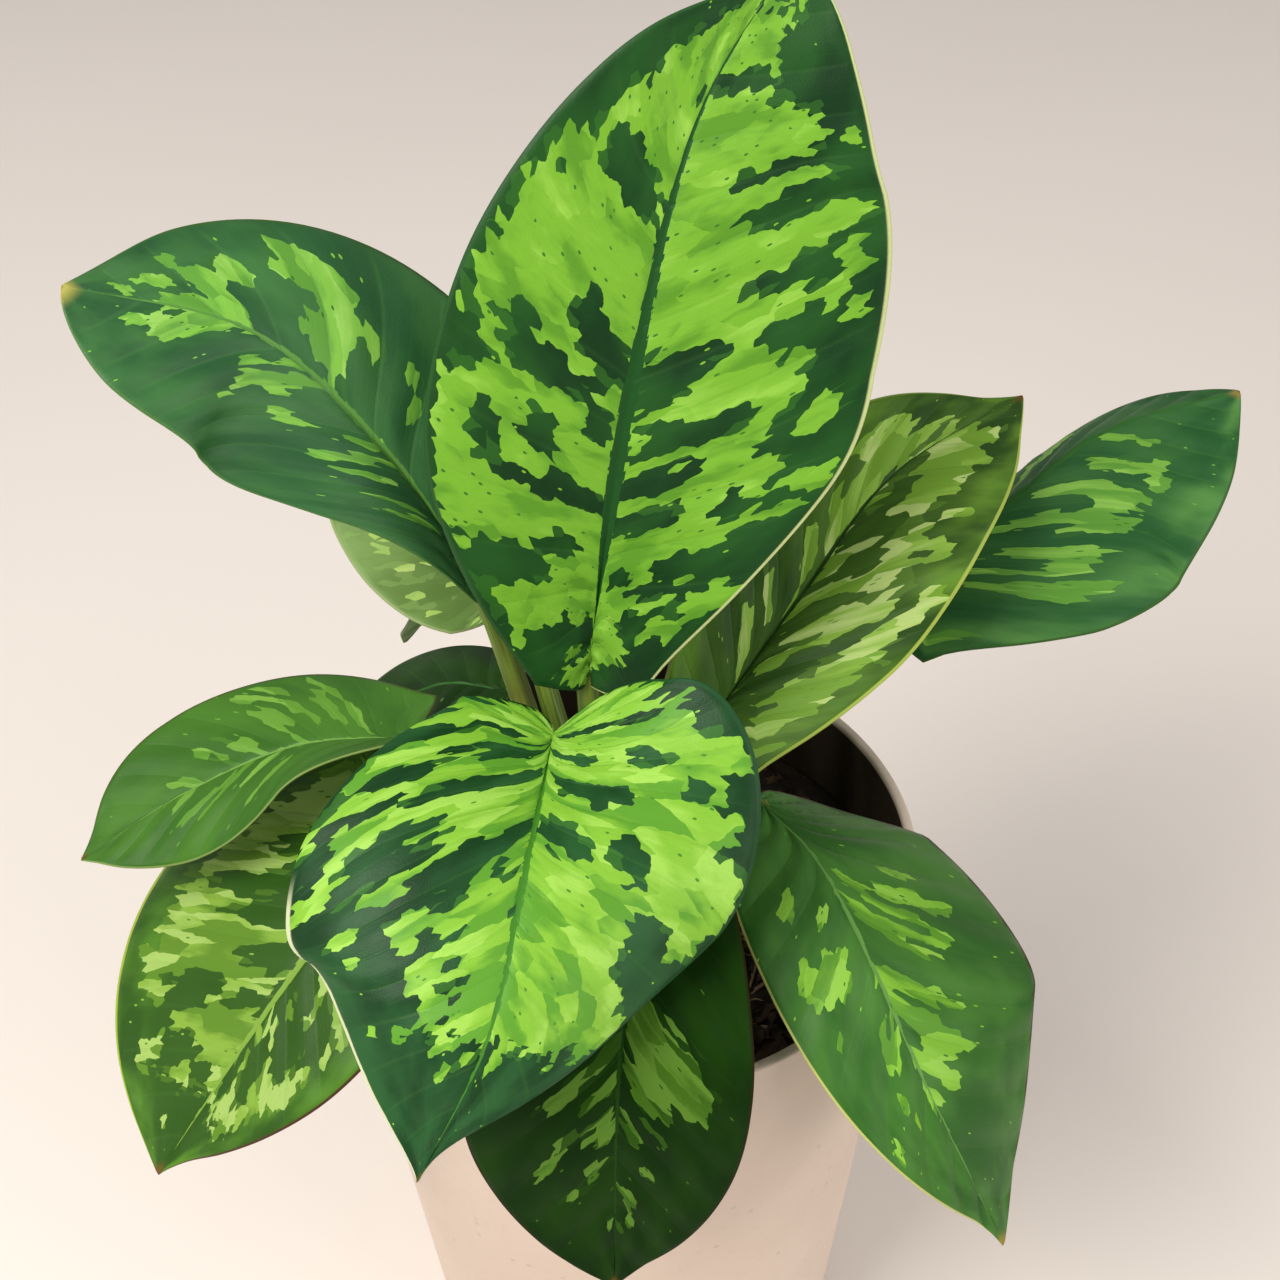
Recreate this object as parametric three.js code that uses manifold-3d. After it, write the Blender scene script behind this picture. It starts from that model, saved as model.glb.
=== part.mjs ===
// A potted homalomena: broad ovate leaves on long stalks that rise from one short stem,
// in dark potting mix, in a tall round tapered pot.
// Millimetres, +Z up. The origin is the centre of the pot's flat base, and -Y is the front.
import * as THREE from "three";
import { mergeVertices } from "three/addons/utils/BufferGeometryUtils.js";
import Module from "manifold-3d";

const wasm = await Module();
wasm.setup();

// Pot
const POT_HEIGHT = 180;
const RIM_RADIUS = 65;
const BASE_RADIUS = 53.5;
const POT_WALL = 2.2;
const POT_FLOOR = 4;
const LIP_ROUND = 0.9;
const FOOT_ROUND = 3;
const POT_SIDES = 56;

// Potting mix
const SOIL_DROP = 22;
const SOIL_TOP = POT_HEIGHT - SOIL_DROP;
const SOIL_LUMP = 1.4;
const SOIL_RINGS = 8;
const SOIL_SIDES = 32;
const HOLE_CLEAR = 0.6;
const HOLE_SIDES = 12;
const CLEAR = 0.3;

// Leaves
const BLADE_THICK = 0.9;
const BLADE_ROWS = 15;
const RIB_DEPTH = 1.8;
const RIB_SHARE = 0.05;
const SIDE_COLUMNS = [RIB_SHARE, 0.36, 0.7, 1];
const STALK_TOP = 2;
const STALK_FOOT = 3.3;
const STALK_SIDES = 8;
const STALK_STEPS = 8;
const STALK_SUNK = 9;
const STALK_UNDER_BLADE = 6;

// The short stem, and the two rings round it in which the stalks stand
const STEM_RADIUS = 5;
const STEM_RISE = 14;
const INNER_RING = STEM_RADIUS + CLEAR + STALK_FOOT;
const OUTER_RING = INNER_RING + 2 * STALK_FOOT + CLEAR;

const v3 = (p) => new THREE.Vector3(...p);
const mix = THREE.MathUtils.lerp;
const radians = THREE.MathUtils.degToRad;

// A closed three.js geometry as a manifold solid, with triangles that have shrunk to nothing dropped.
function solid(geometry) {
  const bare = new THREE.BufferGeometry();
  bare.setAttribute("position", geometry.getAttribute("position"));
  bare.setIndex(geometry.index);
  const merged = mergeVertices(bare, 1e-4);
  const corners = merged.index.array;
  const kept = [];
  for (let i = 0; i < corners.length; i += 3) {
    const [a, b, c] = corners.slice(i, i + 3);
    if (a !== b && b !== c && c !== a) kept.push(a, b, c);
  }
  return new wasm.Manifold(
    new wasm.Mesh({
      numProp: 3,
      vertProperties: merged.attributes.position.array,
      triVerts: new Uint32Array(kept),
    }),
  );
}

// A manifold solid as a three.js geometry.
function geometryOf(manifold) {
  const { vertProperties, triVerts } = manifold.getMesh();
  return new THREE.BufferGeometry()
    .setAttribute("position", new THREE.BufferAttribute(vertProperties, 3))
    .setIndex(new THREE.BufferAttribute(triVerts, 1));
}

// Moves every vertex of a geometry to where place(vertex) says.
function bend(geometry, place) {
  const position = geometry.getAttribute("position");
  const vertex = new THREE.Vector3();
  for (let i = 0; i < position.count; i++) {
    vertex.fromBufferAttribute(position, i);
    const moved = place(vertex);
    position.setXYZ(i, moved.x, moved.y, moved.z);
  }
  return geometry;
}

// The flat outline of one half of a blade, from its base to its tip: how far along the midrib,
// as a share of its length, and how far out, as a share of the half width.
const OUTLINE = new THREE.SplineCurve(
  [
    [0, 0],
    [-0.045, 0.26],
    [-0.02, 0.55],
    [0.07, 0.81],
    [0.22, 0.97],
    [0.38, 1.0],
    [0.54, 0.93],
    [0.69, 0.75],
    [0.82, 0.5],
    [0.92, 0.22],
    [1, 0],
  ].map(([along, out]) => new THREE.Vector2(along, out)),
);
const OUTLINE_FULLEST = 0.38;
// Side veins leave the midrib crowded near the base and sweep forward to the margin.
const VEIN_CROWDING = 1.25;
const VEIN_SWEEP = 1.4;

// One leaf each. root is the ring its stalk stands in and its bearing there, anticlockwise from +X.
// midrib holds points that the midrib passes through, face is roughly where the blade's upper side
// looks, and lobe is how far the base reaches back beside the stalk. Each half, seen from above with
// the tip ahead, has a width, a place where it is fullest, a taper towards the base and one towards
// the tip, which are blunt under 1 and hollow over 1, a rise, which is how steeply it climbs from the
// midrib at base, middle and tip, and a curl, which is how far it then bends back down by the margin,
// in degrees. wave is how far the margin ripples up and down.
const LEAVES = {
  leaf_centre: {
    root: [INNER_RING, 250],
    midrib: [[-6, 0, 230], [4, 9, 292], [17, 24, 338], [33, 36, 360]],
    face: [0, -1, 0.5],
    lobe: 0.3,
    left: { width: 36, fullest: 0.43, taper: [2.6, 1.35], rise: [25, 8, 10], curl: [20, 8, 0] },
    right: { width: 42, fullest: 0.53, taper: [2.6, 0.6], rise: [35, 8, 10], curl: [20, 8, 0] },
    wave: 1.2,
  },
  leaf_upper_left: {
    root: [INNER_RING, 190],
    midrib: [[-27, 12, 244], [-43, 18, 273], [-65, 22, 298], [-96, 16, 312]],
    face: [-0.2, -0.6, 1],
    lobe: 0.5,
    left: { width: 26, fullest: 0.6, taper: [3, 0.6], rise: [75, 15, 0], curl: [20, 20, 10] },
    right: { width: 31, fullest: 0.38, taper: [1, 1], rise: [20, 5, 5], curl: [20, 30, 10] },
    wave: 1,
  },
  leaf_front: {
    root: [OUTER_RING, 255],
    midrib: [[-12, -20, 234], [-16, -55, 235], [-22, -80, 222], [-36, -92, 196]],
    face: [0.2, -0.6, 1],
    lobe: 1,
    left: { width: 41, fullest: 0.28, taper: [1, 2], rise: [52, 10, -10], curl: [10, 70, 80] },
    right: { width: 43, fullest: 0.5, taper: [1.8, 1.4], rise: [10, 5, 0], curl: [10, 50, 30] },
    wave: 1,
  },
  leaf_low_left: {
    root: [OUTER_RING, 215],
    midrib: [[-38, -14, 210], [-64, -38, 189], [-97, -60, 148]],
    face: [-0.5, -0.6, 1],
    lobe: 0.6,
    left: { width: 25, fullest: 0.42, taper: [1, 1.3], rise: [5, 5, 5], curl: [10, 20, 10] },
    right: { width: 50, fullest: 0.56, taper: [1, 0.95], rise: [-5, 0, 5], curl: [10, 20, 10] },
    wave: 1,
  },
  leaf_left: {
    root: [OUTER_RING, 180],
    midrib: [[-40, -13, 227], [-66, -6, 218], [-90, -8, 207], [-113, -14, 194]],
    face: [0, -0.3, 1],
    lobe: 0.5,
    left: { width: 16, fullest: 0.55, taper: [1, 1], rise: [50, 20, 5], curl: [10, 20, 20] },
    right: { width: 20, fullest: 0.5, taper: [1, 1], rise: [-15, 5, 5], curl: [10, 20, 20] },
    wave: 1.5,
  },
  leaf_left_behind: {
    root: [OUTER_RING, 145],
    midrib: [[-24, 22, 206], [-40, 28, 203], [-66, 30, 186]],
    face: [0, -0.2, 1],
    lobe: 0.5,
    left: { width: 18, fullest: 0.42, taper: [1, 1], rise: [10, 5, 5], curl: [10, 20, 20] },
    right: { width: 14, fullest: 0.42, taper: [1, 1], rise: [5, 0, 0], curl: [10, 30, 20] },
    wave: 1,
  },
  leaf_low_front: {
    root: [OUTER_RING, 285],
    midrib: [[6, -38, 215], [0, -68, 200], [-3, -82, 140]],
    face: [0, -0.8, 1],
    lobe: 0.5,
    left: { width: 25, fullest: 0.5, taper: [1, 1], rise: [10, 5, 5], curl: [10, 20, 10] },
    right: { width: 30, fullest: 0.5, taper: [1, 1], rise: [10, 5, 5], curl: [10, 20, 10] },
    wave: 1,
  },
  leaf_low_right: {
    root: [OUTER_RING, 325],
    midrib: [[28, -14, 208], [39, -30, 207], [58, -66, 182], [75, -78, 145]],
    face: [0.4, -0.5, 1],
    lobe: 0.6,
    left: { width: 44, fullest: 0.38, taper: [1.3, 0.95], rise: [-32, -2, 0], curl: [0, 30, 15] },
    right: { width: 20, fullest: 0.38, taper: [1, 1.4], rise: [0, -10, -5], curl: [10, 20, 10] },
    wave: 1.5,
  },
  leaf_right: {
    root: [INNER_RING, 10],
    midrib: [[18, 8, 206], [39, 24, 230], [58, 36, 252], [88, 55, 259]],
    face: [-0.3, -0.8, 1],
    lobe: 0.5,
    left: { width: 20, fullest: 0.45, taper: [1, 1.2], rise: [45, 25, 10], curl: [10, 10, 5] },
    right: { width: 27, fullest: 0.5, taper: [1, 0.9], rise: [30, 15, 10], curl: [20, 30, 20] },
    wave: 1,
  },
  leaf_far_right: {
    root: [OUTER_RING, 40],
    midrib: [[59, 42, 213], [86, 50, 233], [108, 60, 245], [141, 70, 249]],
    face: [0, -0.6, 1],
    lobe: 0.5,
    left: { width: 20, fullest: 0.45, taper: [1, 1], rise: [-20, -60, -20], curl: [10, 20, 10] },
    right: { width: 38, fullest: 0.55, taper: [1.7, 0.9], rise: [0, 0, 0], curl: [10, 20, 10] },
    wave: 1.5,
  },
  leaf_back_left: {
    root: [INNER_RING, 130],
    midrib: [[-22, 34, 223], [-44, 62, 245], [-63, 86, 241]],
    face: [-0.3, 0, 1],
    lobe: 0.5,
    left: { width: 27, fullest: 0.4, taper: [1, 1], rise: [15, 5, 0], curl: [10, 20, 10] },
    right: { width: 28, fullest: 0.45, taper: [1, 1], rise: [15, 10, 5], curl: [10, 20, 10] },
    wave: 1,
  },
  leaf_back: {
    root: [INNER_RING, 70],
    midrib: [[14, 28, 212], [25, 58, 238], [36, 92, 240]],
    face: [0, -0.3, 1],
    lobe: 0.5,
    left: { width: 30, fullest: 0.42, taper: [1, 1], rise: [15, 10, 5], curl: [10, 20, 10] },
    right: { width: 28, fullest: 0.42, taper: [1, 1], rise: [15, 10, 5], curl: [10, 20, 10] },
    wave: 1,
  },
  leaf_low_back: {
    root: [OUTER_RING, 105],
    midrib: [[-6, 48, 198], [-34, 80, 196], [-58, 88, 163]],
    face: [0, 0.2, 1],
    lobe: 0.5,
    left: { width: 22, fullest: 0.42, taper: [1, 1], rise: [15, 10, 5], curl: [10, 20, 10] },
    right: { width: 24, fullest: 0.42, taper: [1, 1], rise: [15, 10, 5], curl: [10, 20, 10] },
    wave: 1,
  },
  leaf_back_right: {
    root: [OUTER_RING, 75],
    midrib: [[26, 46, 198], [40, 78, 206], [49, 106, 180]],
    face: [0.2, 0.2, 1],
    lobe: 0.5,
    left: { width: 25, fullest: 0.42, taper: [1, 1], rise: [15, 10, 5], curl: [10, 20, 10] },
    right: { width: 25, fullest: 0.42, taper: [1, 1], rise: [15, 10, 5], curl: [10, 20, 10] },
    wave: 1,
  },
};

// The midrib's frame at a share of its length: point, forward, upper side and right side. Before
// its start the line runs straight on backwards, under the lobes of the base.
function frameAlong({ midrib, face }) {
  const line = new THREE.CatmullRomCurve3(midrib.map(v3));
  const length = line.getLength();
  const up = v3(face);
  return (share) => {
    const inside = THREE.MathUtils.clamp(share, 0, 1);
    const forward = line.getTangentAt(inside);
    const point = line.getPointAt(inside).addScaledVector(forward, (share - inside) * length);
    const upper = up.clone().addScaledVector(forward, -up.dot(forward)).normalize();
    const right = forward.clone().cross(upper);
    return { point, forward, upper, right };
  };
}

// A value given at base, middle and tip, at a share along the leaf.
const between = ([base, middle, tip], t) =>
  base * (1 - t) * (1 - 2 * t) + 4 * middle * t * (1 - t) + tip * t * (2 * t - 1);

// The blade's middle surface: row runs from 0 at the base to 1 at the tip, side from -1 to 1.
function bladeSurface(leaf) {
  const frame = frameAlong(leaf);
  return (row, side) => {
    const half = side < 0 ? leaf.left : leaf.right;
    const margin = OUTLINE.getPoint(row);
    const skew = Math.log(half.fullest) / Math.log(OUTLINE_FULLEST);
    const marginShare = margin.x > 0 ? margin.x ** skew : margin.x * leaf.lobe;
    const reach = Math.abs(side);
    const share = mix(row ** VEIN_CROWDING, marginShare, reach ** VEIN_SWEEP);
    const { point, upper, right } = frame(share);
    const taper = half.taper[margin.x > OUTLINE_FULLEST ? 1 : 0];
    const out = reach * Math.max(margin.y, 0) ** taper;
    const inside = THREE.MathUtils.clamp(share, 0, 1);
    const rise = radians(between(half.rise, inside));
    const curl = radians(between(half.curl, inside)) + 1e-4;
    const across = (half.width * (Math.sin(rise) - Math.sin(rise - curl * out))) / curl;
    const drop = (half.width * (Math.cos(rise - curl * out) - Math.cos(rise))) / curl;
    const ripple = leaf.wave * reach ** 2 * Math.min(1, 4 * margin.y);
    const phase = 3 * Math.PI * row + half.width + (side < 0 ? 2 : 0);
    return point
      .addScaledVector(right, Math.sign(side) * across)
      .addScaledVector(upper, drop + ripple * Math.sin(phase));
  };
}

// The blade: points on its surface, doubled into an upper and a lower skin that are split into the
// same triangles and closed round the margin, with the midrib standing out below.
function blade(leaf) {
  const surface = bladeSurface(leaf);
  const columns = [...SIDE_COLUMNS.map((c) => -c).reverse(), 0, ...SIDE_COLUMNS];
  const wide = columns.length;
  const skinSize = (BLADE_ROWS + 1) * wide;
  const step = 1e-3;
  const points = [];
  for (const skin of [1, -1]) {
    for (let i = 0; i <= BLADE_ROWS; i++) {
      const row = i / BLADE_ROWS;
      const atEnd = i === 0 || i === BLADE_ROWS;
      const near = THREE.MathUtils.clamp(row, 0.04, 0.98);
      for (const column of columns) {
        const side = atEnd ? 0 : column;
        const ahead = surface(near + step, side).sub(surface(near - step, side));
        const outward = surface(near, side + step).sub(surface(near, side - step));
        const upward = outward.cross(ahead).normalize();
        const rib = side === 0 && skin < 0 && !atEnd ? RIB_DEPTH * (1 - row) : 0;
        points.push(...surface(row, side).addScaledVector(upward, (skin * BLADE_THICK) / 2 - rib));
      }
    }
  }
  const corners = [];
  const triangle = (a, b, c) => {
    corners.push(a, b, c, a + skinSize, c + skinSize, b + skinSize);
  };
  const wall = (a, b) => corners.push(b, a, a + skinSize, b, a + skinSize, b + skinSize);
  for (let i = 0; i < BLADE_ROWS; i++) {
    for (let j = 0; j < wide - 1; j++) {
      const [a, b] = [i * wide + j, i * wide + j + 1];
      const [c, d] = [b + wide, a + wide];
      if (columns[j] < 0) {
        triangle(a, b, d);
        triangle(b, c, d);
      } else {
        triangle(a, b, c);
        triangle(a, c, d);
      }
    }
    wall(i * wide + wide - 1, (i + 1) * wide + wide - 1);
    wall((i + 1) * wide, i * wide);
  }
  const geometry = new THREE.BufferGeometry();
  geometry.setAttribute("position", new THREE.Float32BufferAttribute(points, 3));
  return solid(geometry.setIndex(corners));
}

const footOf = ({ root: [ring, bearing] }) =>
  new THREE.Vector3(ring * Math.cos(radians(bearing)), ring * Math.sin(radians(bearing)), SOIL_TOP);

// The stalk's line: straight up out of the soil, outward to the blade, and on under its midrib.
function stalkLine(leaf) {
  const { point: joint, forward, upper } = frameAlong(leaf)(0);
  const foot = footOf(leaf);
  const bottom = foot.clone().setZ(SOIL_TOP - STALK_SUNK);
  const collar = foot.clone().setZ(SOIL_TOP + 4);
  const belly = collar.clone().lerp(joint, 0.5);
  belly.z += 0.06 * collar.distanceTo(joint);
  joint.addScaledVector(upper, -RIB_DEPTH);
  const end = joint.clone().addScaledVector(forward, STALK_UNDER_BLADE);
  return new THREE.CatmullRomCurve3([bottom, foot, collar, belly, joint, end]);
}

// The stalk: a tapered round bar bent along its line.
function stalk(leaf) {
  const line = stalkLine(leaf);
  const frames = line.computeFrenetFrames(STALK_STEPS);
  const bar = new THREE.CylinderGeometry(1, 1, 1, STALK_SIDES, STALK_STEPS);
  return solid(
    bend(bar, ({ x, y, z }) => {
      const share = y + 0.5;
      const step = Math.round(share * STALK_STEPS);
      const radius = step === STALK_STEPS ? 1 : mix(STALK_FOOT, STALK_TOP, share);
      return line
        .getPointAt(share)
        .addScaledVector(frames.normals[step], z * radius)
        .addScaledVector(frames.binormals[step], x * radius);
    }),
  );
}

// The pot, turned round its axis: flat base, tapered wall, rounded lip and an open inside.
function pot() {
  const wallAt = (height) => mix(BASE_RADIUS, RIM_RADIUS, height / POT_HEIGHT);
  const profile = [
    [0, 0],
    [BASE_RADIUS - FOOT_ROUND, 0],
    [BASE_RADIUS - FOOT_ROUND * 0.25, FOOT_ROUND * 0.3],
    [wallAt(FOOT_ROUND), FOOT_ROUND],
    [wallAt(POT_HEIGHT - LIP_ROUND), POT_HEIGHT - LIP_ROUND],
    [RIM_RADIUS - LIP_ROUND, POT_HEIGHT],
    [RIM_RADIUS - POT_WALL + LIP_ROUND * 0.5, POT_HEIGHT],
    [RIM_RADIUS - POT_WALL, POT_HEIGHT - LIP_ROUND],
    [wallAt(POT_FLOOR) - POT_WALL, POT_FLOOR],
    [0, POT_FLOOR],
  ].map(([radius, height]) => new THREE.Vector2(radius, height));
  return solid(new THREE.LatheGeometry(profile, POT_SIDES).rotateX(Math.PI / 2));
}

// The potting mix: fills the pot to below the rim, with a lumpy top and a plain hole for each stem.
function soil() {
  const wallAt = (height) => mix(BASE_RADIUS, RIM_RADIUS, height / POT_HEIGHT) - POT_WALL - CLEAR;
  const profile = [[0, POT_FLOOR + CLEAR], [wallAt(POT_FLOOR + CLEAR), POT_FLOOR + CLEAR]];
  for (let ring = SOIL_RINGS; ring >= 0; ring--) {
    profile.push([(wallAt(SOIL_TOP) * ring) / SOIL_RINGS, SOIL_TOP]);
  }
  const points = profile.map(([radius, height]) => new THREE.Vector2(radius, height));
  const heap = new THREE.LatheGeometry(points, SOIL_SIDES).rotateX(Math.PI / 2);
  const edge = wallAt(SOIL_TOP);
  const body = solid(
    bend(heap, ({ x, y, z }) => {
      const inside = 1 - (Math.hypot(x, y) / edge) ** 8;
      const broad = Math.sin(x * 0.31 + y * 0.17) * Math.sin(y * 0.37 - x * 0.11);
      const lump = SOIL_LUMP * (broad + 0.6 * Math.sin(x * 0.8 - y * 0.6));
      return new THREE.Vector3(x, y, z > SOIL_TOP - 1 ? z + lump * inside : z);
    }),
  );
  const hole = (radius, { x, y }) => {
    const wide = radius + HOLE_CLEAR;
    const deep = STALK_SUNK + CLEAR;
    const plug = new THREE.CylinderGeometry(wide, wide, 2 * deep, HOLE_SIDES);
    return solid(plug.rotateX(Math.PI / 2).translate(x, y, SOIL_TOP));
  };
  return Object.values(LEAVES)
    .map((leaf) => hole(STALK_FOOT, footOf(leaf)))
    .reduce((whole, plug) => whole.subtract(plug), body.subtract(hole(STEM_RADIUS, { x: 0, y: 0 })));
}

// The short stem at the middle, with the closed bud of its next leaf on top.
function stem() {
  const profile = [
    [0, SOIL_TOP - STALK_SUNK],
    [STEM_RADIUS, SOIL_TOP - STALK_SUNK],
    [STEM_RADIUS, SOIL_TOP + 3],
    [STEM_RADIUS * 0.6, SOIL_TOP + STEM_RISE * 0.7],
    [STEM_RADIUS * 0.35, SOIL_TOP + STEM_RISE],
    [STEM_RADIUS * 0.3, SOIL_TOP + STEM_RISE * 1.8],
    [0, SOIL_TOP + STEM_RISE * 2.3],
  ].map(([radius, height]) => new THREE.Vector2(radius, height));
  return solid(new THREE.LatheGeometry(profile, 12).rotateX(Math.PI / 2));
}

const plant = new THREE.Group();

function add(name, body, color, roughness) {
  const material = new THREE.MeshStandardMaterial({ color, roughness, metalness: 0 });
  const mesh = new THREE.Mesh(geometryOf(body), material);
  mesh.name = name;
  plant.add(mesh);
}

add("pot", pot(), 0xe9e2da, 0.5);
add("soil", soil(), 0x241a15, 0.95);
add("stem", stem(), 0x7d8a34, 0.5);
for (const [name, leaf] of Object.entries(LEAVES)) {
  add(name, blade(leaf).add(stalk(leaf)), 0x2f6b2c, 0.4);
}

export default plant;
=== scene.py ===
# A potted homalomena: fourteen variegated leaves on slender stalks, rising from one short stem
# in dark potting mix, in a smooth white tapered pot. The plant and the pot share one body.
# Sizes below are in millimetres, and every mesh is scaled to metres when it is made.

import math
from collections import namedtuple

import bpy
import numpy as np
from mathutils import Matrix, Vector


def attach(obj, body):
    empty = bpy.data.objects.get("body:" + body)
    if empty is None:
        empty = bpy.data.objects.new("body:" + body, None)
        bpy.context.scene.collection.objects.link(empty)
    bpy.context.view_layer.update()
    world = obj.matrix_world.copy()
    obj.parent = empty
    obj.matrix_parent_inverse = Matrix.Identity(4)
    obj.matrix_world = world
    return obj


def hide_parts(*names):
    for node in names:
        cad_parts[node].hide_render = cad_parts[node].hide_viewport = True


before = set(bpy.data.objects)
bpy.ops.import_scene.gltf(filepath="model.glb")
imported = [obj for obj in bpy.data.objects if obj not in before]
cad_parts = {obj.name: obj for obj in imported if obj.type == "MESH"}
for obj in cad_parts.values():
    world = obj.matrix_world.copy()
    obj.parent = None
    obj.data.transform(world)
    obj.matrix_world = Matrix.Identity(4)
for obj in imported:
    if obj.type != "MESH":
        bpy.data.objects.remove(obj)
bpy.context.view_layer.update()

MM = 0.001

# Pot.
POT_HEIGHT = 180
RIM_RADIUS = 65
BASE_RADIUS = 53.5
POT_WALL = 2.2
POT_FLOOR = 4
LIP_ROUND = 0.9
FOOT_ROUND = 3
POT_SIDES = 160

# Potting mix.
SOIL_TOP = 158
SOIL_LUMP = 1.4
SOIL_RINGS = 64
SOIL_SIDES = 200
LITTER_RADIUS = 57
LITTER_RINGS = 12
LITTER_SIDES = 48
CHIP_TILT = 0.5
# Name, chips a square metre, smallest and largest chip, and seed.
LITTER = (("soil_bark", 32000, 3.0, 7.0, 11), ("soil_bits", 90000, 1.0, 2.6, 23))
ROOTS = 80
ROOT_SEED = 7
ROOT_SIDES = 7
ROOT_STEP = 0.9
ROOT_STEPS = (24, 60)
SHORTEST_ROOT = 8
ROOT_RADIUS = (0.3, 0.7)
ROOT_TAPER = 0.4
ROOT_START = 0.62
ROOT_BEND = 0.1
ROOT_WANDER = 0.12
ROOT_ARCH = 1.2
ARCH_PACE = 0.35
CLEAR = 0.3

# Stem and stalks. The stem's corners are (radius, height, round of the corner).
STEM_RADIUS = 5
STEM_SIDES = 24
STEM_CORNERS = (
    (0, 149, 0), (STEM_RADIUS, 149, 0.5), (STEM_RADIUS, 161, 1), (3, 167.8, 0), (1.75, 172, 1),
    (1.5, 183.2, 0.5), (0, 190.2, 0),
)
STALK_FOOT = 3.3
STALK_TOP = 2
STALK_SIDES = 20
STALK_STEPS = 40
STALK_SUNK = 9
STALK_UNDER_BLADE = 6
STALK_STRAIGHT = 4
STALK_BELLY = 0.06
STALK_FLARE = 0.5
FLARE_REACH = 6
STALK_END = 1.0
NARROWS_FROM = 0.93
CHANNEL_DEPTH = 0.24
CHANNEL_REACH = 0.42
RIDGE_HEIGHT = 0.05
INNER_RING = STEM_RADIUS + CLEAR + STALK_FOOT
OUTER_RING = INNER_RING + 2 * STALK_FOOT + CLEAR

# Blades.
BLADE_ROWS = 96
BLADE_COLUMNS = 24
COLUMN_CROWDING = 1.35
THICK_MIDRIB = 0.8
THICK_MARGIN = 0.45
THINNING = 0.6
RIM_BULGE = 0.15
RIB_DEPTH = 1.8
RIB_REACH = 0.05
FURROW_DEPTH = 0.45
FURROW_REACH = 0.022
# How close to the base and the tip, and to the midrib and the margin, the relief fades out.
END_FADE = (0.05, 0.06)
SIDE_FADE = (0.12, 0.1)

Half = namedtuple("Half", "width fullest rise curl taper", defaults=((10, 20, 10), (1, 1)))

# The flat outline of one half of a blade, from its base to its tip: how far along the midrib,
# as a share of its length, and how far out, as a share of the half width.
OUTLINE = (
    (0, 0), (-0.045, 0.26), (-0.02, 0.55), (0.07, 0.81), (0.22, 0.97), (0.38, 1.0),
    (0.54, 0.93), (0.69, 0.75), (0.82, 0.5), (0.92, 0.22), (1, 0),
)
OUTLINE_FULLEST = 0.38
VEIN_CROWDING = 1.25
VEIN_SWEEP = 1.4
LEAN_POWER = 0.8
PUCKER = 0.9
PUCKER_SCALE = 45.0

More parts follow.
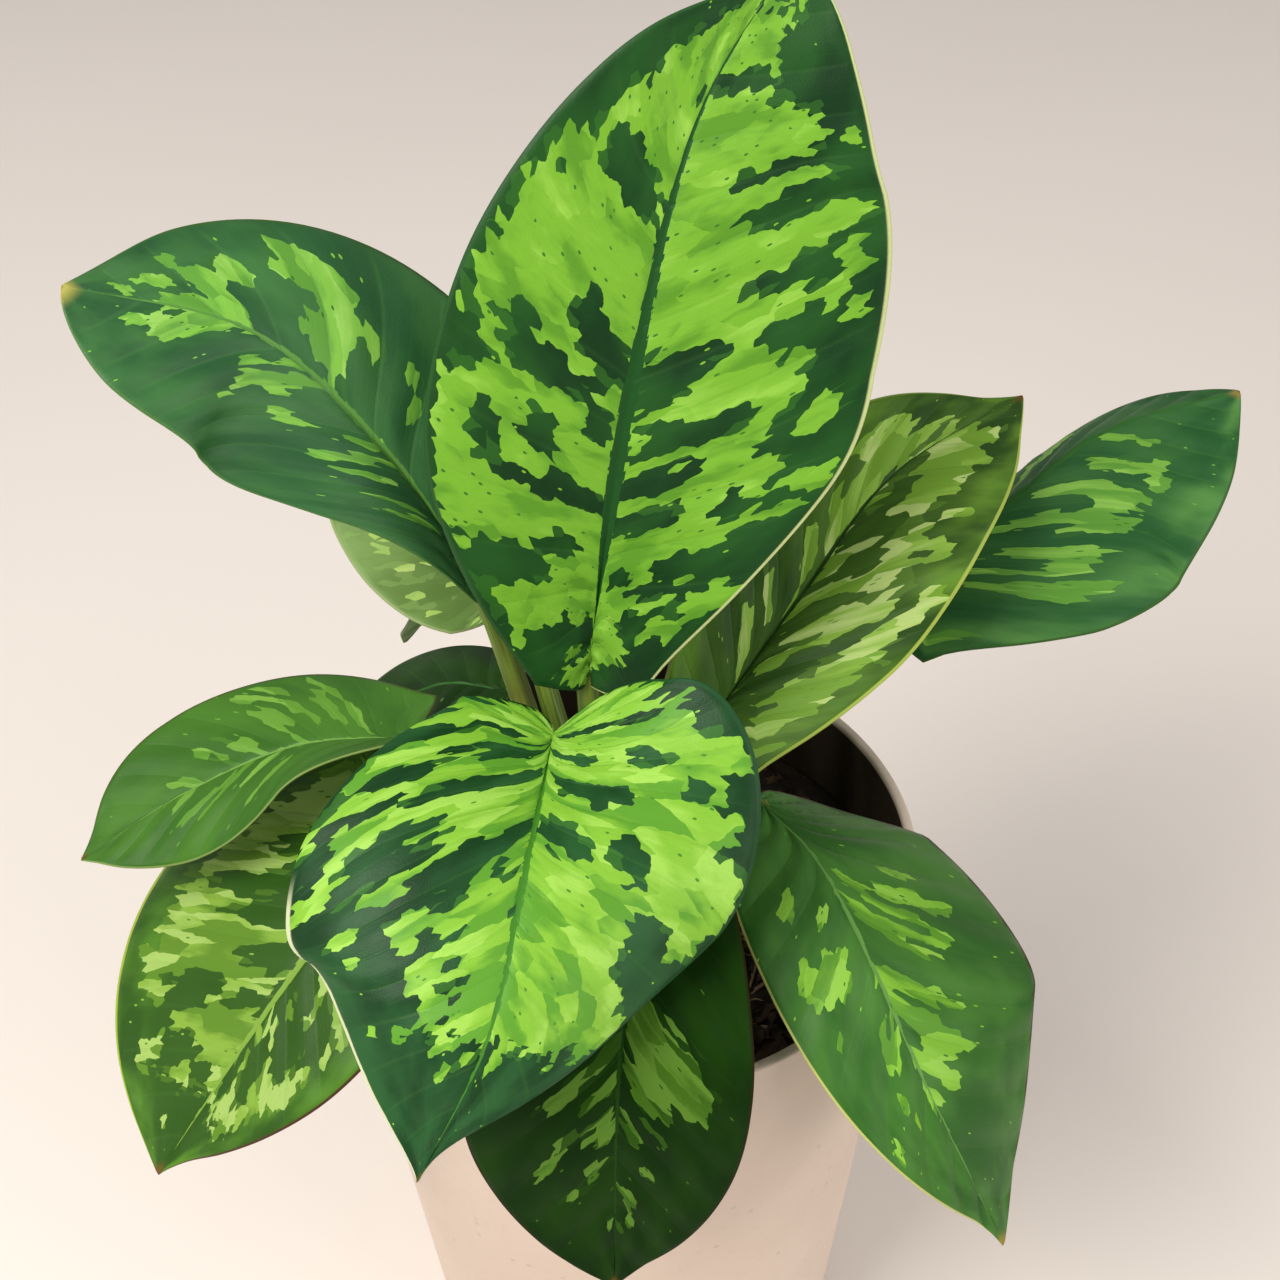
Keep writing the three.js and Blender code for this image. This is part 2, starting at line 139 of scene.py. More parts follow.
# One leaf each. root is the ring its stalk stands in and its bearing there, anticlockwise from +X.
# midrib holds points that the midrib passes through, face is roughly where the blade's upper side
# looks, and lobe is how far the base reaches back beside the stalk. Each half, seen from above with
# the tip ahead, has a width, a place where it is fullest, a rise from the midrib at base, middle and
# tip, a curl back down by the margin, in degrees, and a taper towards the base and one towards the
# tip. wave is how far the margin ripples. lean is how far the side veins of the left and the right
# half sweep towards the tip. veins, furrow and pleat are their number and their relief.
Leaf = namedtuple(
    "Leaf", "root face midrib left right veins lobe wave lean furrow pleat",
    defaults=(0.5, 1, (0.5, 0.5), 0.15, 0.35),
)
LEAVES = {
    "leaf_centre": Leaf(
        root=(INNER_RING, 250), face=(0, -1, 0.5), lobe=0.3, wave=1.2,
        midrib=((-6, 0, 230), (4, 9, 292), (17, 24, 338), (33, 36, 360)),
        left=Half(36, 0.43, (25, 8, 10), (20, 8, 0), (2.6, 1.35)),
        right=Half(42, 0.53, (35, 8, 10), (20, 8, 0), (2.6, 0.6)),
        lean=(0.17, 0.2), veins=15, furrow=0.12, pleat=0.3,
    ),
    "leaf_upper_left": Leaf(
        root=(INNER_RING, 190), face=(-0.2, -0.6, 1),
        midrib=((-27, 12, 244), (-43, 18, 273), (-65, 22, 298), (-96, 16, 312)),
        left=Half(26, 0.6, (75, 15, 0), (20, 20, 10), (3, 0.6)),
        right=Half(31, 0.38, (20, 5, 5), (20, 30, 10)),
        veins=9, furrow=0.2,
    ),
    "leaf_front": Leaf(
        root=(OUTER_RING, 255), face=(0.2, -0.6, 1), lobe=1,
        midrib=((-12, -20, 234), (-16, -55, 235), (-22, -80, 222), (-36, -92, 196)),
        left=Half(41, 0.28, (52, 10, -10), (10, 70, 80), (1, 2)),
        right=Half(43, 0.5, (10, 5, 0), (10, 50, 30), (1.8, 1.4)),
        veins=13, furrow=0.12, pleat=0.3,
    ),
    "leaf_low_left": Leaf(
        root=(OUTER_RING, 215), face=(-0.5, -0.6, 1), lobe=0.6,
        midrib=((-38, -14, 210), (-64, -38, 189), (-97, -60, 148)),
        left=Half(25, 0.42, (5, 5, 5), taper=(1, 1.3)),
        right=Half(50, 0.56, (-5, 0, 5), taper=(1, 0.95)),
        lean=(0.4, 0.4), veins=11, furrow=0.12, pleat=0.3,
    ),
    "leaf_left": Leaf(
        root=(OUTER_RING, 180), face=(0, -0.3, 1), wave=1.5,
        midrib=((-40, -13, 227), (-66, -6, 218), (-90, -8, 207), (-113, -14, 194)),
        left=Half(16, 0.55, (50, 20, 5), (10, 20, 20)), right=Half(20, 0.5, (-15, 5, 5), (10, 20, 20)),
        lean=(0.4, 0.4), veins=9, furrow=0.1, pleat=0.25,
    ),
    "leaf_left_behind": Leaf(
        root=(OUTER_RING, 145), face=(0, -0.2, 1),
        midrib=((-24, 22, 206), (-40, 28, 203), (-66, 30, 186)),
        left=Half(18, 0.42, (10, 5, 5), (10, 20, 20)), right=Half(14, 0.42, (5, 0, 0), (10, 30, 20)),
        lean=(0.4, 0.4), veins=8, furrow=0.12, pleat=0.3,
    ),
    "leaf_low_front": Leaf(
        root=(OUTER_RING, 285), face=(0, -0.8, 1),
        midrib=((6, -38, 215), (0, -68, 200), (-3, -82, 140)),
        left=Half(25, 0.5, (10, 5, 5)), right=Half(30, 0.5, (10, 5, 5)),
        veins=9, pleat=0.4,
    ),
    "leaf_low_right": Leaf(
        root=(OUTER_RING, 325), face=(0.4, -0.5, 1), lobe=0.6, wave=1.5,
        midrib=((28, -14, 208), (39, -30, 207), (58, -66, 182), (75, -78, 145)),
        left=Half(44, 0.38, (-32, -2, 0), (0, 30, 15), (1.3, 0.95)),
        right=Half(20, 0.38, (0, -10, -5), taper=(1, 1.4)),
        lean=(0.65, 0.45), veins=9, furrow=0.3, pleat=0.6,
    ),
    "leaf_right": Leaf(
        root=(INNER_RING, 10), face=(-0.3, -0.8, 1),
        midrib=((18, 8, 206), (39, 24, 230), (58, 36, 252), (88, 55, 259)),
        left=Half(20, 0.45, (45, 25, 10), (10, 10, 5), (1, 1.2)),
        right=Half(27, 0.5, (30, 15, 10), (20, 30, 20), (1, 0.9)),
        lean=(0.6, 0.7), veins=10, furrow=0.12,
    ),
    "leaf_far_right": Leaf(
        root=(OUTER_RING, 40), face=(0, -0.6, 1), wave=1.5,
        midrib=((59, 42, 213), (86, 50, 233), (108, 60, 245), (141, 70, 249)),
        left=Half(20, 0.45, (-20, -60, -20)), right=Half(38, 0.55, (0, 0, 0), taper=(1.7, 0.9)),
        lean=(0.5, 0.95), veins=10, furrow=0.3, pleat=0.6,
    ),
    "leaf_back_left": Leaf(
        root=(INNER_RING, 130), face=(-0.3, 0, 1), veins=10,
        midrib=((-22, 34, 223), (-44, 62, 245), (-63, 86, 241)),
        left=Half(27, 0.4, (15, 5, 0)), right=Half(28, 0.45, (15, 10, 5)),
    ),
    "leaf_back": Leaf(
        root=(INNER_RING, 70), face=(0, -0.3, 1), veins=10,
        midrib=((14, 28, 212), (25, 58, 238), (36, 92, 240)),
        left=Half(30, 0.42, (15, 10, 5)), right=Half(28, 0.42, (15, 10, 5)),
    ),
    "leaf_low_back": Leaf(
        root=(OUTER_RING, 105), face=(0, 0.2, 1), veins=9,
        midrib=((-6, 48, 198), (-34, 80, 196), (-58, 88, 163)),
        left=Half(22, 0.42, (15, 10, 5)), right=Half(24, 0.42, (15, 10, 5)),
    ),
    "leaf_back_right": Leaf(
        root=(OUTER_RING, 75), face=(0.2, 0.2, 1), veins=9,
        midrib=((26, 46, 198), (40, 78, 206), (49, 106, 180)),
        left=Half(25, 0.42, (15, 10, 5)), right=Half(25, 0.42, (15, 10, 5)),
    ),
}


# Markings. Each leaf starts plain, green at -1 or lime at 1, with green bands beyond a share of each
# half and towards the tip. A share of 2 is past the edge, so that band isn't there. Green patches and
# then lime ones are laid on it, each (row, side, half size across the side veins, half size along
# them). The first and the third are in thousandths of the midrib, and the others in hundredths of the
# half blade.
Looks = namedtuple("Looks", "ground bands tip lime green", defaults=(-1, (2, 2), 2, (), ()))
MARKINGS = {
    "leaf_centre": Looks(
        ground=1, bands=(0.93, 0.7), tip=0.95,
        green=(
            (845, -8, 18, 5), (735, -35, 24, 30), (700, -4, 15, 5), (860, -100, 200, 27),
            (545, -12, 12, 16), (530, -45, 17, 30), (535, -90, 20, 18), (580, -22, 20, 16),
            (610, -28, 9, 6), (565, -60, 12, 10), (460, -70, 30, 6), (460, -43, 24, 10), (475, -13, 18, 8),
            (420, -60, 9, 6), (387, -25, 18, 24), (325, -38, 18, 14), (335, -72, 22, 22),
            (200, -60, 50, 50), (900, 78, 60, 38), (868, 25, 10, 26), (765, 62, 11, 28), (715, 64, 18, 25),
            (640, 68, 16, 22), (580, 80, 26, 26), (545, 17, 27, 19), (515, 12, 14, 10), (468, 28, 16, 24),
            (475, 17, 16, 9), (402, 18, 18, 15), (350, 20, 18, 18), (385, 60, 18, 7), (262, 22, 16, 10),
            (320, 60, 16, 16), (245, 60, 20, 16), (490, 85, 50, 20), (275, 50, 10, 15),
        ),
        lime=(
            (700, -86, 20, 5), (635, -85, 20, 3), (400, -95, 40, 3), (220, -40, 20, 10),
            (180, -65, 15, 10), (130, 35, 20, 10), (805, 90, 12, 4), (805, 62, 14, 15), (745, 62, 12, 16),
            (688, 76, 20, 15), (635, 84, 26, 6), (600, 77, 16, 6), (575, 88, 14, 5), (478, 82, 18, 8),
            (412, 85, 14, 12), (385, 84, 10, 7), (300, 88, 18, 12), (265, 80, 14, 12),
        ),
    ),
    "leaf_upper_left": Looks(
        lime=(
            (800, 8, 50, 14), (750, 6, 30, 10), (840, 10, 30, 12), (800, -12, 30, 10), (870, -30, 22, 12),
            (840, -35, 18, 12), (810, -25, 22, 12), (865, 42, 25, 12), (915, 25, 12, 15),
            (830, 68, 14, 10), (790, 38, 22, 17), (755, 52, 17, 12), (680, 65, 35, 14), (630, 50, 28, 17),
            (625, 25, 36, 17), (575, 42, 24, 10), (635, -2, 15, 6), (635, -27, 34, 18), (605, -12, 14, 12),
            (690, -25, 14, 6), (645, -55, 7, 6), (645, -42, 7, 4), (575, -42, 9, 5), (545, -35, 16, 6),
            (450, -33, 16, 9), (430, -22, 12, 10), (415, -12, 13, 10), (395, -27, 13, 12),
            (440, -5, 10, 8), (310, -30, 12, 10), (300, -45, 10, 10), (250, -25, 10, 8), (440, 25, 13, 6),
            (500, 45, 12, 5),
        ),
    ),
    "leaf_front": Looks(
        ground=1, bands=(0.97, 0.97), tip=0.73,
        green=(
            (600, 58, 160, 46), (600, 98, 200, 33), (250, 22, 22, 18), (315, 43, 26, 20),
            (220, 42, 14, 16), (325, 76, 17, 14), (385, 80, 15, 14), (415, 56, 20, 16), (385, 9, 22, 9),
            (465, 27, 24, 20), (470, 66, 22, 28), (170, 35, 12, 22), (120, 30, 11, 20), (200, 68, 14, 15),
            (270, 90, 18, 10), (255, 62, 12, 14), (130, -45, 13, 22), (200, -28, 16, 20),
            (160, -20, 10, 15), (300, -27, 30, 18), (390, -15, 30, 13), (305, -62, 26, 9),
            (220, -72, 15, 8), (385, -75, 24, 6), (450, -43, 32, 7), (570, -62, 40, 11),
            (450, -97, 60, 12), (330, -100, 70, 13), (250, -95, 30, 8), (630, -88, 50, 30),
            (670, -3, 15, 4),
        ),
        lime=(
            (500, 90, 22, 10), (565, 72, 18, 7), (615, 70, 12, 3), (548, 42, 22, 10), (545, 26, 20, 9),
            (580, 46, 18, 5), (585, 20, 18, 6), (612, 32, 16, 10), (645, 36, 18, 10), (690, 33, 15, 8),
            (745, 30, 18, 9), (770, 12, 12, 5), (790, 26, 12, 5), (485, 50, 16, 12), (530, 10, 50, 12),
            (600, 8, 60, 12), (670, 7, 40, 11), (710, 3, 20, 8), (760, -15, 20, 5), (570, -80, 30, 3),
            (450, -88, 22, 4), (500, -90, 14, 4),
        ),
    ),
    "leaf_low_left": Looks(
        ground=1, bands=(0.74, 0.78), tip=0.82,
        green=(
            (490, 10, 18, 8), (465, 28, 29, 17), (530, 12, 31, 17), (430, 47, 29, 23), (410, 20, 26, 15),
            (350, 32, 19, 10), (280, 30, 36, 25), (665, 45, 39, 17), (630, 15, 23, 8), (745, 72, 42, 16),
            (775, 45, 36, 17), (790, 20, 22, 10), (570, -6, 42, 8), (620, -2, 16, 5), (530, -20, 44, 18),
            (620, -43, 44, 23), (690, -25, 39, 14), (690, -5, 29, 7), (770, -12, 29, 11),
            (560, -55, 39, 18), (740, -40, 26, 14),
        ),
        lime=(
            (650, 78, 22, 9), (545, 68, 30, 12), (790, 68, 12, 9), (900, 50, 10, 5), (660, -72, 35, 12),
            (700, -60, 20, 8), (830, -30, 14, 8),
        ),
    ),
    "leaf_left": Looks(
        lime=(
            (710, 15, 18, 13), (550, 22, 20, 16), (470, 45, 22, 17), (420, 12, 13, 16), (485, 75, 20, 12),
            (450, 80, 13, 12), (410, 45, 14, 16), (380, 75, 12, 12), (360, 50, 14, 20), (280, 35, 12, 20),
            (620, 35, 16, 14), (505, -20, 15, 18), (580, -20, 22, 20), (720, -15, 16, 15),
            (660, -40, 18, 18), (450, -45, 16, 16), (600, 10, 12, 8),
        ),
    ),
    "leaf_low_front": Looks(
        lime=(
            (430, -22, 60, 24), (460, -45, 65, 22), (510, -20, 32, 16), (500, -55, 35, 14),
            (580, -30, 15, 7), (600, -12, 22, 8), (450, 10, 14, 8), (510, 30, 28, 16), (520, 10, 14, 8),
            (605, 8, 32, 11), (620, 34, 12, 8), (700, 18, 22, 9), (760, -14, 22, 8), (810, -22, 20, 6),
            (840, 10, 14, 8), (680, -28, 14, 8), (660, 50, 20, 12), (740, 40, 14, 10), (850, -8, 12, 6),
        ),
    ),
    "leaf_low_right": Looks(
        lime=(
            (462, 30, 36, 9), (468, 42, 34, 9), (478, 54, 34, 9), (485, 66, 34, 8), (360, 55, 32, 7),
            (380, 27, 13, 6), (410, 50, 9, 3), (590, 20, 31, 7), (585, 10, 16, 8), (560, 62, 9, 5),
            (655, 35, 20, 5), (700, 35, 13, 3), (700, 82, 11, 6), (315, -12, 13, 10), (405, -15, 20, 14),
            (390, -36, 20, 13), (420, -30, 14, 10), (465, -24, 16, 10), (475, -42, 20, 8),
            (445, -57, 13, 7), (360, -45, 9, 8), (525, -10, 14, 11), (540, -20, 18, 13),
            (580, -12, 29, 10), (620, -20, 31, 14), (670, -13, 16, 7), (640, -4, 11, 4), (695, -3, 18, 6),
        ),
    ),
    "leaf_right": Looks(
        lime=(
            (240, 90, 22, 9), (250, 68, 43, 14), (330, 67, 65, 17), (395, 70, 46, 12), (320, 25, 22, 17),
            (285, 22, 14, 6), (430, 42, 46, 22), (440, 72, 46, 7), (470, 20, 19, 20), (497, 30, 18, 22),
            (455, 12, 16, 11), (540, 14, 14, 9), (560, 17, 12, 9), (570, 50, 95, 10), (500, 84, 74, 8),
            (600, 72, 54, 7), (680, 73, 20, 11), (700, 38, 61, 14), (760, 30, 27, 22), (800, 42, 46, 24),
            (810, 15, 27, 15), (870, 38, 41, 26), (870, 10, 19, 11), (700, -25, 43, 30),
            (700, -55, 43, 19), (755, -20, 30, 22), (810, -40, 16, 15), (850, -35, 16, 13),
            (830, -15, 19, 13), (640, -20, 38, 18), (580, -15, 30, 14), (510, -18, 23, 13),
            (310, -30, 30, 14), (420, -35, 19, 15),
        ),
    ),
    "leaf_far_right": Looks(
        lime=(
            (680, 27, 30, 14), (740, 14, 14, 12), (585, 24, 24, 12), (605, 42, 50, 12), (540, 44, 40, 14),
            (490, 24, 26, 14), (730, 47, 34, 6), (700, 53, 30, 6), (425, 37, 30, 13), (430, 52, 50, 10),
            (390, 64, 50, 12), (340, 52, 30, 13), (475, 52, 18, 8), (385, 8, 14, 9), (310, 30, 22, 10),
            (260, 88, 20, 5), (210, 78, 30, 7), (570, -60, 40, 40),
        ),
    ),
    "leaf_left_behind": Looks(ground=-1.2),
    "leaf_back_left": Looks(ground=-0.15, bands=(0.9, 0.9), tip=0.9),
    "leaf_back": Looks(ground=0.02, bands=(0.85, 0.85), tip=0.9),
    "leaf_low_back": Looks(ground=-0.06, bands=(0.8, 0.8), tip=0.85),
    "leaf_back_right": Looks(ground=-0.02, bands=(0.8, 0.8), tip=0.85),
}


# Curves and surfaces.

CURVE_STEPS = 200
MIDRIB_STEPS = 400
# A blade's facing is read no nearer to its base and its tip than this.
READ_WITHIN = (0.03, 0.985)


def unit(vectors):
    return vectors / np.maximum(np.linalg.norm(vectors, axis=-1, keepdims=True), 1e-12)


def outline_at(row):
    """The margin's place along the midrib and out from it, at a row from base 0 to tip 1."""
    points = np.array([OUTLINE[0], *OUTLINE, OUTLINE[-1]], float)
    step = np.clip(row, 0, 1) * (len(OUTLINE) - 1)
    first = np.minimum(step.astype(int), len(OUTLINE) - 2)
    t = (step - first)[..., None]
    p0, p1, p2, p3 = (points[first + k] for k in range(4))
    v0 = (p2 - p0) / 2
    v1 = (p3 - p1) / 2
    curve = (2 * p1 - 2 * p2 + v0 + v1) * t**3 + (3 * p2 - 3 * p1 - 2 * v0 - v1) * t**2 + v0 * t + p1
    return curve[..., 0], curve[..., 1]


def smooth_line(points, count):
    """Points on a smooth curve through the given ones, evenly spaced, and the curve's length."""
    points = np.array(points, float)
    points = np.vstack([2 * points[0] - points[1], points, 2 * points[-1] - points[-2]])
    fine = []
    for p0, p1, p2, p3 in zip(points, points[1:], points[2:], points[3:]):
        d0, d1, d2 = (math.sqrt(np.linalg.norm(b - a)) for a, b in ((p0, p1), (p1, p2), (p2, p3)))
        m1 = ((p1 - p0) / d0 - (p2 - p0) / (d0 + d1) + (p2 - p1) / d1) * d1
        m2 = ((p2 - p1) / d1 - (p3 - p1) / (d1 + d2) + (p3 - p2) / d2) * d1
        t = np.linspace(0, 1, CURVE_STEPS, endpoint=False)[:, None]
        cubic = (2 * p1 - 2 * p2 + m1 + m2) * t**3
        fine.append(p1 + m1 * t + (3 * p2 - 3 * p1 - 2 * m1 - m2) * t**2 + cubic)
    fine = np.vstack([*fine, points[-2]])
    walked = np.concatenate([[0], np.cumsum(np.linalg.norm(np.diff(fine, axis=0), axis=1))])
    even = np.linspace(0, walked[-1], count)
    return np.stack([np.interp(even, walked, fine[:, k]) for k in range(3)], axis=-1), walked[-1]


def between(values, t):
    """A value given at base, middle and tip, at a share along the leaf."""
    base, middle, tip = values
    return base * (1 - t) * (1 - 2 * t) + 4 * middle * t * (1 - t) + tip * t * (2 * t - 1)


def midrib_frame(leaf, share):
    """Point, forward, upper side and right side at a share of the midrib's length."""
    line, length = smooth_line(leaf.midrib, MIDRIB_STEPS + 1)
    tangents = np.gradient(line, axis=0)
    inside = np.clip(share, 0, 1)
    marks = np.linspace(0, 1, MIDRIB_STEPS + 1)

    def at(values):
        return np.stack([np.interp(inside, marks, values[:, k]) for k in range(3)], axis=-1)

    forward = unit(at(tangents))
    point = at(line) + forward * ((share - inside) * length)[..., None]
    face = np.array(leaf.face, float)
    upper = unit(face - forward * (forward @ face)[..., None])
    return point, forward, upper, np.cross(forward, upper)


def blade_surface(leaf, row, side):
    """The blade's middle surface: row runs from base 0 to tip 1, side from -1 to 1."""

    def pick(a, b):
        return np.where(side < 0, a, b)

    left, right = leaf.left, leaf.right
    along, out = outline_at(row)
    skew = np.log(pick(left.fullest, right.fullest)) / math.log(OUTLINE_FULLEST)
    margin = np.where(along > 0, np.abs(along) ** skew, along * leaf.lobe)
    reach = np.abs(side)
    share = row**VEIN_CROWDING * (1 - reach**VEIN_SWEEP) + margin * reach**VEIN_SWEEP
    point, forward, upper, rightward = midrib_frame(leaf, share)
    tipward = along > OUTLINE_FULLEST
    by_half = (pick(left.taper[k], right.taper[k]) for k in (1, 0))
    reach_out = reach * np.maximum(out, 0) ** np.where(tipward, *by_half)
    inside = np.clip(share, 0, 1)
    rise = np.radians(pick(between(left.rise, inside), between(right.rise, inside)))
    curl = np.radians(pick(between(left.curl, inside), between(right.curl, inside))) + 1e-4
    width = pick(left.width, right.width)
    across = width * (np.sin(rise) - np.sin(rise - curl * reach_out)) / curl
    drop = width * (np.cos(rise - curl * reach_out) - np.cos(rise)) / curl
    ripple = leaf.wave * reach**2 * np.minimum(1, 4 * out)
    phase = 3 * math.pi * row + width + pick(2, 0)
    sideways = rightward * (np.sign(side) * across)[..., None]
    return point + sideways + upper * (drop + ripple * np.sin(phase))[..., None]


def vein_at(leaf, row, side):
    """The row at which the side vein through this place leaves the midrib."""
    lean = np.where(side < 0, *leaf.lean)
    return row - lean * np.abs(side) ** LEAN_POWER * (1 - row)


# Meshes.


def tube(rings, first, last):
    """A closed skin over a row of rings, and one point at each end.

    A ring runs so that its direction crossed with the way ahead points out of the solid."""
    count, wide = rings.shape[:2]
    points = np.vstack([rings.reshape(-1, 3), first, last])
    ring = np.arange(wide)
    after = (ring + 1) % wide
    faces = []
    for i in range(count - 1):
        a, d = i * wide, (i + 1) * wide
        faces.append(np.stack([a + ring, a + after, d + after, d + ring], axis=1))
    quads = np.vstack(faces)
    start = np.full(wide, count * wide)
    end = start + 1
    top = (count - 1) * wide
    caps = [np.stack([start, after, ring], axis=1), np.stack([top + ring, top + after, end], axis=1)]
    return points, quads.tolist() + np.vstack(caps).tolist()


def make_piece(name, points, faces, materials=(), scalars=None, vectors=None):
    """A smooth-shaded mesh object from points in millimetres, with its point attributes."""
    mesh = bpy.data.meshes.new(name)
    mesh.from_pydata((np.asarray(points, float) * MM).tolist(), [], faces)
    mesh.shade_smooth()
    for key, values in (scalars or {}).items():
        mesh.attributes.new(key, "FLOAT", "POINT").data.foreach_set("value", np.float32(values))
    for key, values in (vectors or {}).items():
        attribute = mesh.attributes.new(key, "FLOAT_VECTOR", "POINT")
        attribute.data.foreach_set("vector", np.float32(values).ravel())
    for material in materials:
        mesh.materials.append(material)
    piece = bpy.data.objects.new(name, mesh)
    bpy.context.scene.collection.objects.link(piece)
    return piece


def blade_rings(leaf):
    """The blade as rings round its two skins, its ends, what the colours read, and its relief's ways."""
    rows = np.linspace(0, 1, BLADE_ROWS + 1)[1:-1]
    reaches = np.linspace(0, 1, BLADE_COLUMNS + 1) ** COLUMN_CROWDING
    row, side = np.meshgrid(rows, np.concatenate([-reaches[:0:-1], reaches]), indexing="ij")
    middle = blade_surface(leaf, row, side)
    step = 1e-3
    near = np.clip(row, *READ_WITHIN)
    ahead = blade_surface(leaf, near + step, side) - blade_surface(leaf, near - step, side)
    outward = blade_surface(leaf, near, side + step) - blade_surface(leaf, near, side - step)
    upward = unit(np.cross(outward, ahead))
    reach = np.abs(side)
    thick = THICK_MIDRIB + (THICK_MARGIN - THICK_MIDRIB) * reach**THINNING
    rib = RIB_DEPTH * (1 - row) * np.exp(-((reach / RIB_REACH) ** 2))
    fade = np.minimum(1, np.minimum(row / END_FADE[0], (1 - row) / END_FADE[1]))
    furrow = FURROW_DEPTH * fade * (1 - row) ** 0.5 * np.exp(-((reach / FURROW_REACH) ** 2))
    upper_skin = middle + upward * (thick / 2 - furrow)[..., None]
    lower_skin = middle - upward * (thick / 2 + rib)[..., None]
    rims = [middle[:, k] + unit(outward[:, k]) * sign * RIM_BULGE for k, sign in ((0, -1), (-1, 1))]

    def ring(left_rim, upper, right_rim, lower):
        return np.concatenate([left_rim[:, None], upper, right_rim[:, None], lower[:, ::-1]], axis=1)

    def scalar(upper, lower, ends):
        return np.append(ring(upper[:, 0], upper, upper[:, -1], lower).ravel(), ends)

    vein, ones = vein_at(leaf, row, side), np.ones_like(row)
    scalars = {
        "row": scalar(row, row, (0, 1)), "side": scalar(side, side, (0, 0)),
        "vein": scalar(vein, vein, (0, 1)), "skin": scalar(ones, -ones, (1, 1)),
    }
    calm = np.minimum(1, reach / SIDE_FADE[0]) * np.minimum(1, (1 - reach) / SIDE_FADE[1]) * fade
    lift = upward * calm[..., None]
    skins = ring(rims[0], upper_skin, rims[1], lower_skin)
    return skins, leaf.midrib[0], leaf.midrib[-1], scalars, ring(lift[:, 0], lift, lift[:, -1], lift)


def stalk_rings(leaf):
    """The stalk: straight up out of the mix, outward to the blade, and on under its midrib."""
    joint, forward, upper, _ = (a[0] for a in midrib_frame(leaf, np.zeros(1)))
    ring, bearing = leaf.root
    bearing = math.radians(bearing)
    foot = np.array([ring * math.cos(bearing), ring * math.sin(bearing), SOIL_TOP])
    bottom = foot - [0, 0, STALK_SUNK]
    collar = foot + [0, 0, STALK_STRAIGHT]
    belly = (collar + joint) / 2 + [0, 0, STALK_BELLY * np.linalg.norm(joint - collar)]
    joint = joint - upper * RIB_DEPTH
    end = joint + forward * STALK_UNDER_BLADE
    line, length = smooth_line([bottom, foot, collar, belly, joint, end], STALK_STEPS + 1)
    forward = unit(np.gradient(line, axis=0))
    face = np.array(leaf.face, float)
    front = unit(face - forward * (forward @ face)[:, None])
    across = np.cross(forward, front)
    share = np.linspace(0, 1, STALK_STEPS + 1)
    last_steps = np.clip((share - NARROWS_FROM) / (1 - NARROWS_FROM), 0, 1)
    radius = (STALK_FOOT + (STALK_TOP - STALK_FOOT) * share) * (1 - last_steps) + STALK_END * last_steps
    flare = STALK_FLARE * np.exp(-(((share * length - STALK_SUNK) / FLARE_REACH) ** 2))
    angle = np.linspace(0, 2 * math.pi, STALK_SIDES, endpoint=False)
    # The upper face of the stalk is a shallow channel between two ridges.
    channel = CHANNEL_DEPTH * np.exp(-(((angle - math.pi / 2) / CHANNEL_REACH) ** 2))
    channel = channel - RIDGE_HEIGHT * np.cos(4 * angle)
    reach = radius[:, None] * (1 - channel[None, :]) + flare[:, None]
    frontways = front[:, None] * (np.sin(angle) * reach)[..., None]
    rings = line[:, None] + frontways - across[:, None] * (np.cos(angle) * reach)[..., None]

    def scalar(values, ends):
        return np.append(np.broadcast_to(values, reach.shape).ravel(), ends)

    scalars = {
        "row": scalar(share[:, None], (0, 1)), "side": scalar(np.sin(angle), (0, 0)),
        "vein": scalar((share * length)[:, None], (0, 0)), "skin": scalar(0.0, (0, 0)),
    }
    return rings, line[0], line[-1], scalars


def rounded(profile, steps=6):
    """A profile of (radius, height, corner radius) with its corners turned into arcs."""
    points = np.array([p[:2] for p in profile], float)
    out = [points[0]]
    for k in range(1, len(points) - 1):
        corner, size = points[k], profile[k][2]
        back, on = unit(points[k - 1] - corner), unit(points[k + 1] - corner)
        for t in np.linspace(0, 1, steps + 1) if size else [0]:
            out.append(corner + back * size * (1 - t) ** 2 + on * size * t**2)
    return np.array([*out, points[-1]])


def turned(profile, sides):
    """A closed solid turned about the upright axis, from a profile that starts and ends on the axis."""
    angle = np.linspace(0, 2 * math.pi, sides, endpoint=False)
    radius, height = profile[1:-1, :1], profile[1:-1, 1:]
    height = np.broadcast_to(height, (len(radius), sides))
    rings = np.stack([radius * np.cos(angle), radius * np.sin(angle), height], axis=-1)
    return tube(rings, [0, 0, profile[0, 1]], [0, 0, profile[-1, 1]])


# Node trees with few words: every call adds one node, and returns what comes out of it.


class Term:
    """A value in a node tree. A sign between terms adds the math node that works it out."""

    def __init__(self, wiring, node, key=0):
        self.wiring, self.node, self.key = wiring, node, key

    def __getitem__(self, key):
        return Term(self.wiring, self.node, key)

    @property
    def socket(self):
        return self.node.outputs[self.key]

    def __add__(self, other):
        return self.wiring.math("ADD", self, other)

    def __sub__(self, other):
        return self.wiring.math("SUBTRACT", self, other)

    def __rsub__(self, other):
        return self.wiring.math("SUBTRACT", other, self)

    def __mul__(self, other):
        return self.wiring.math("MULTIPLY", self, other)

    def __truediv__(self, other):
        return self.wiring.math("DIVIDE", self, other)

    def __pow__(self, other):
        return self.wiring.math("POWER", self, other)

    def __gt__(self, other):
        return self.wiring.math("GREATER_THAN", self, other)

    def __lt__(self, other):
        return self.wiring.math("LESS_THAN", self, other)

    def __abs__(self):
        return self.wiring.math("ABSOLUTE", self)


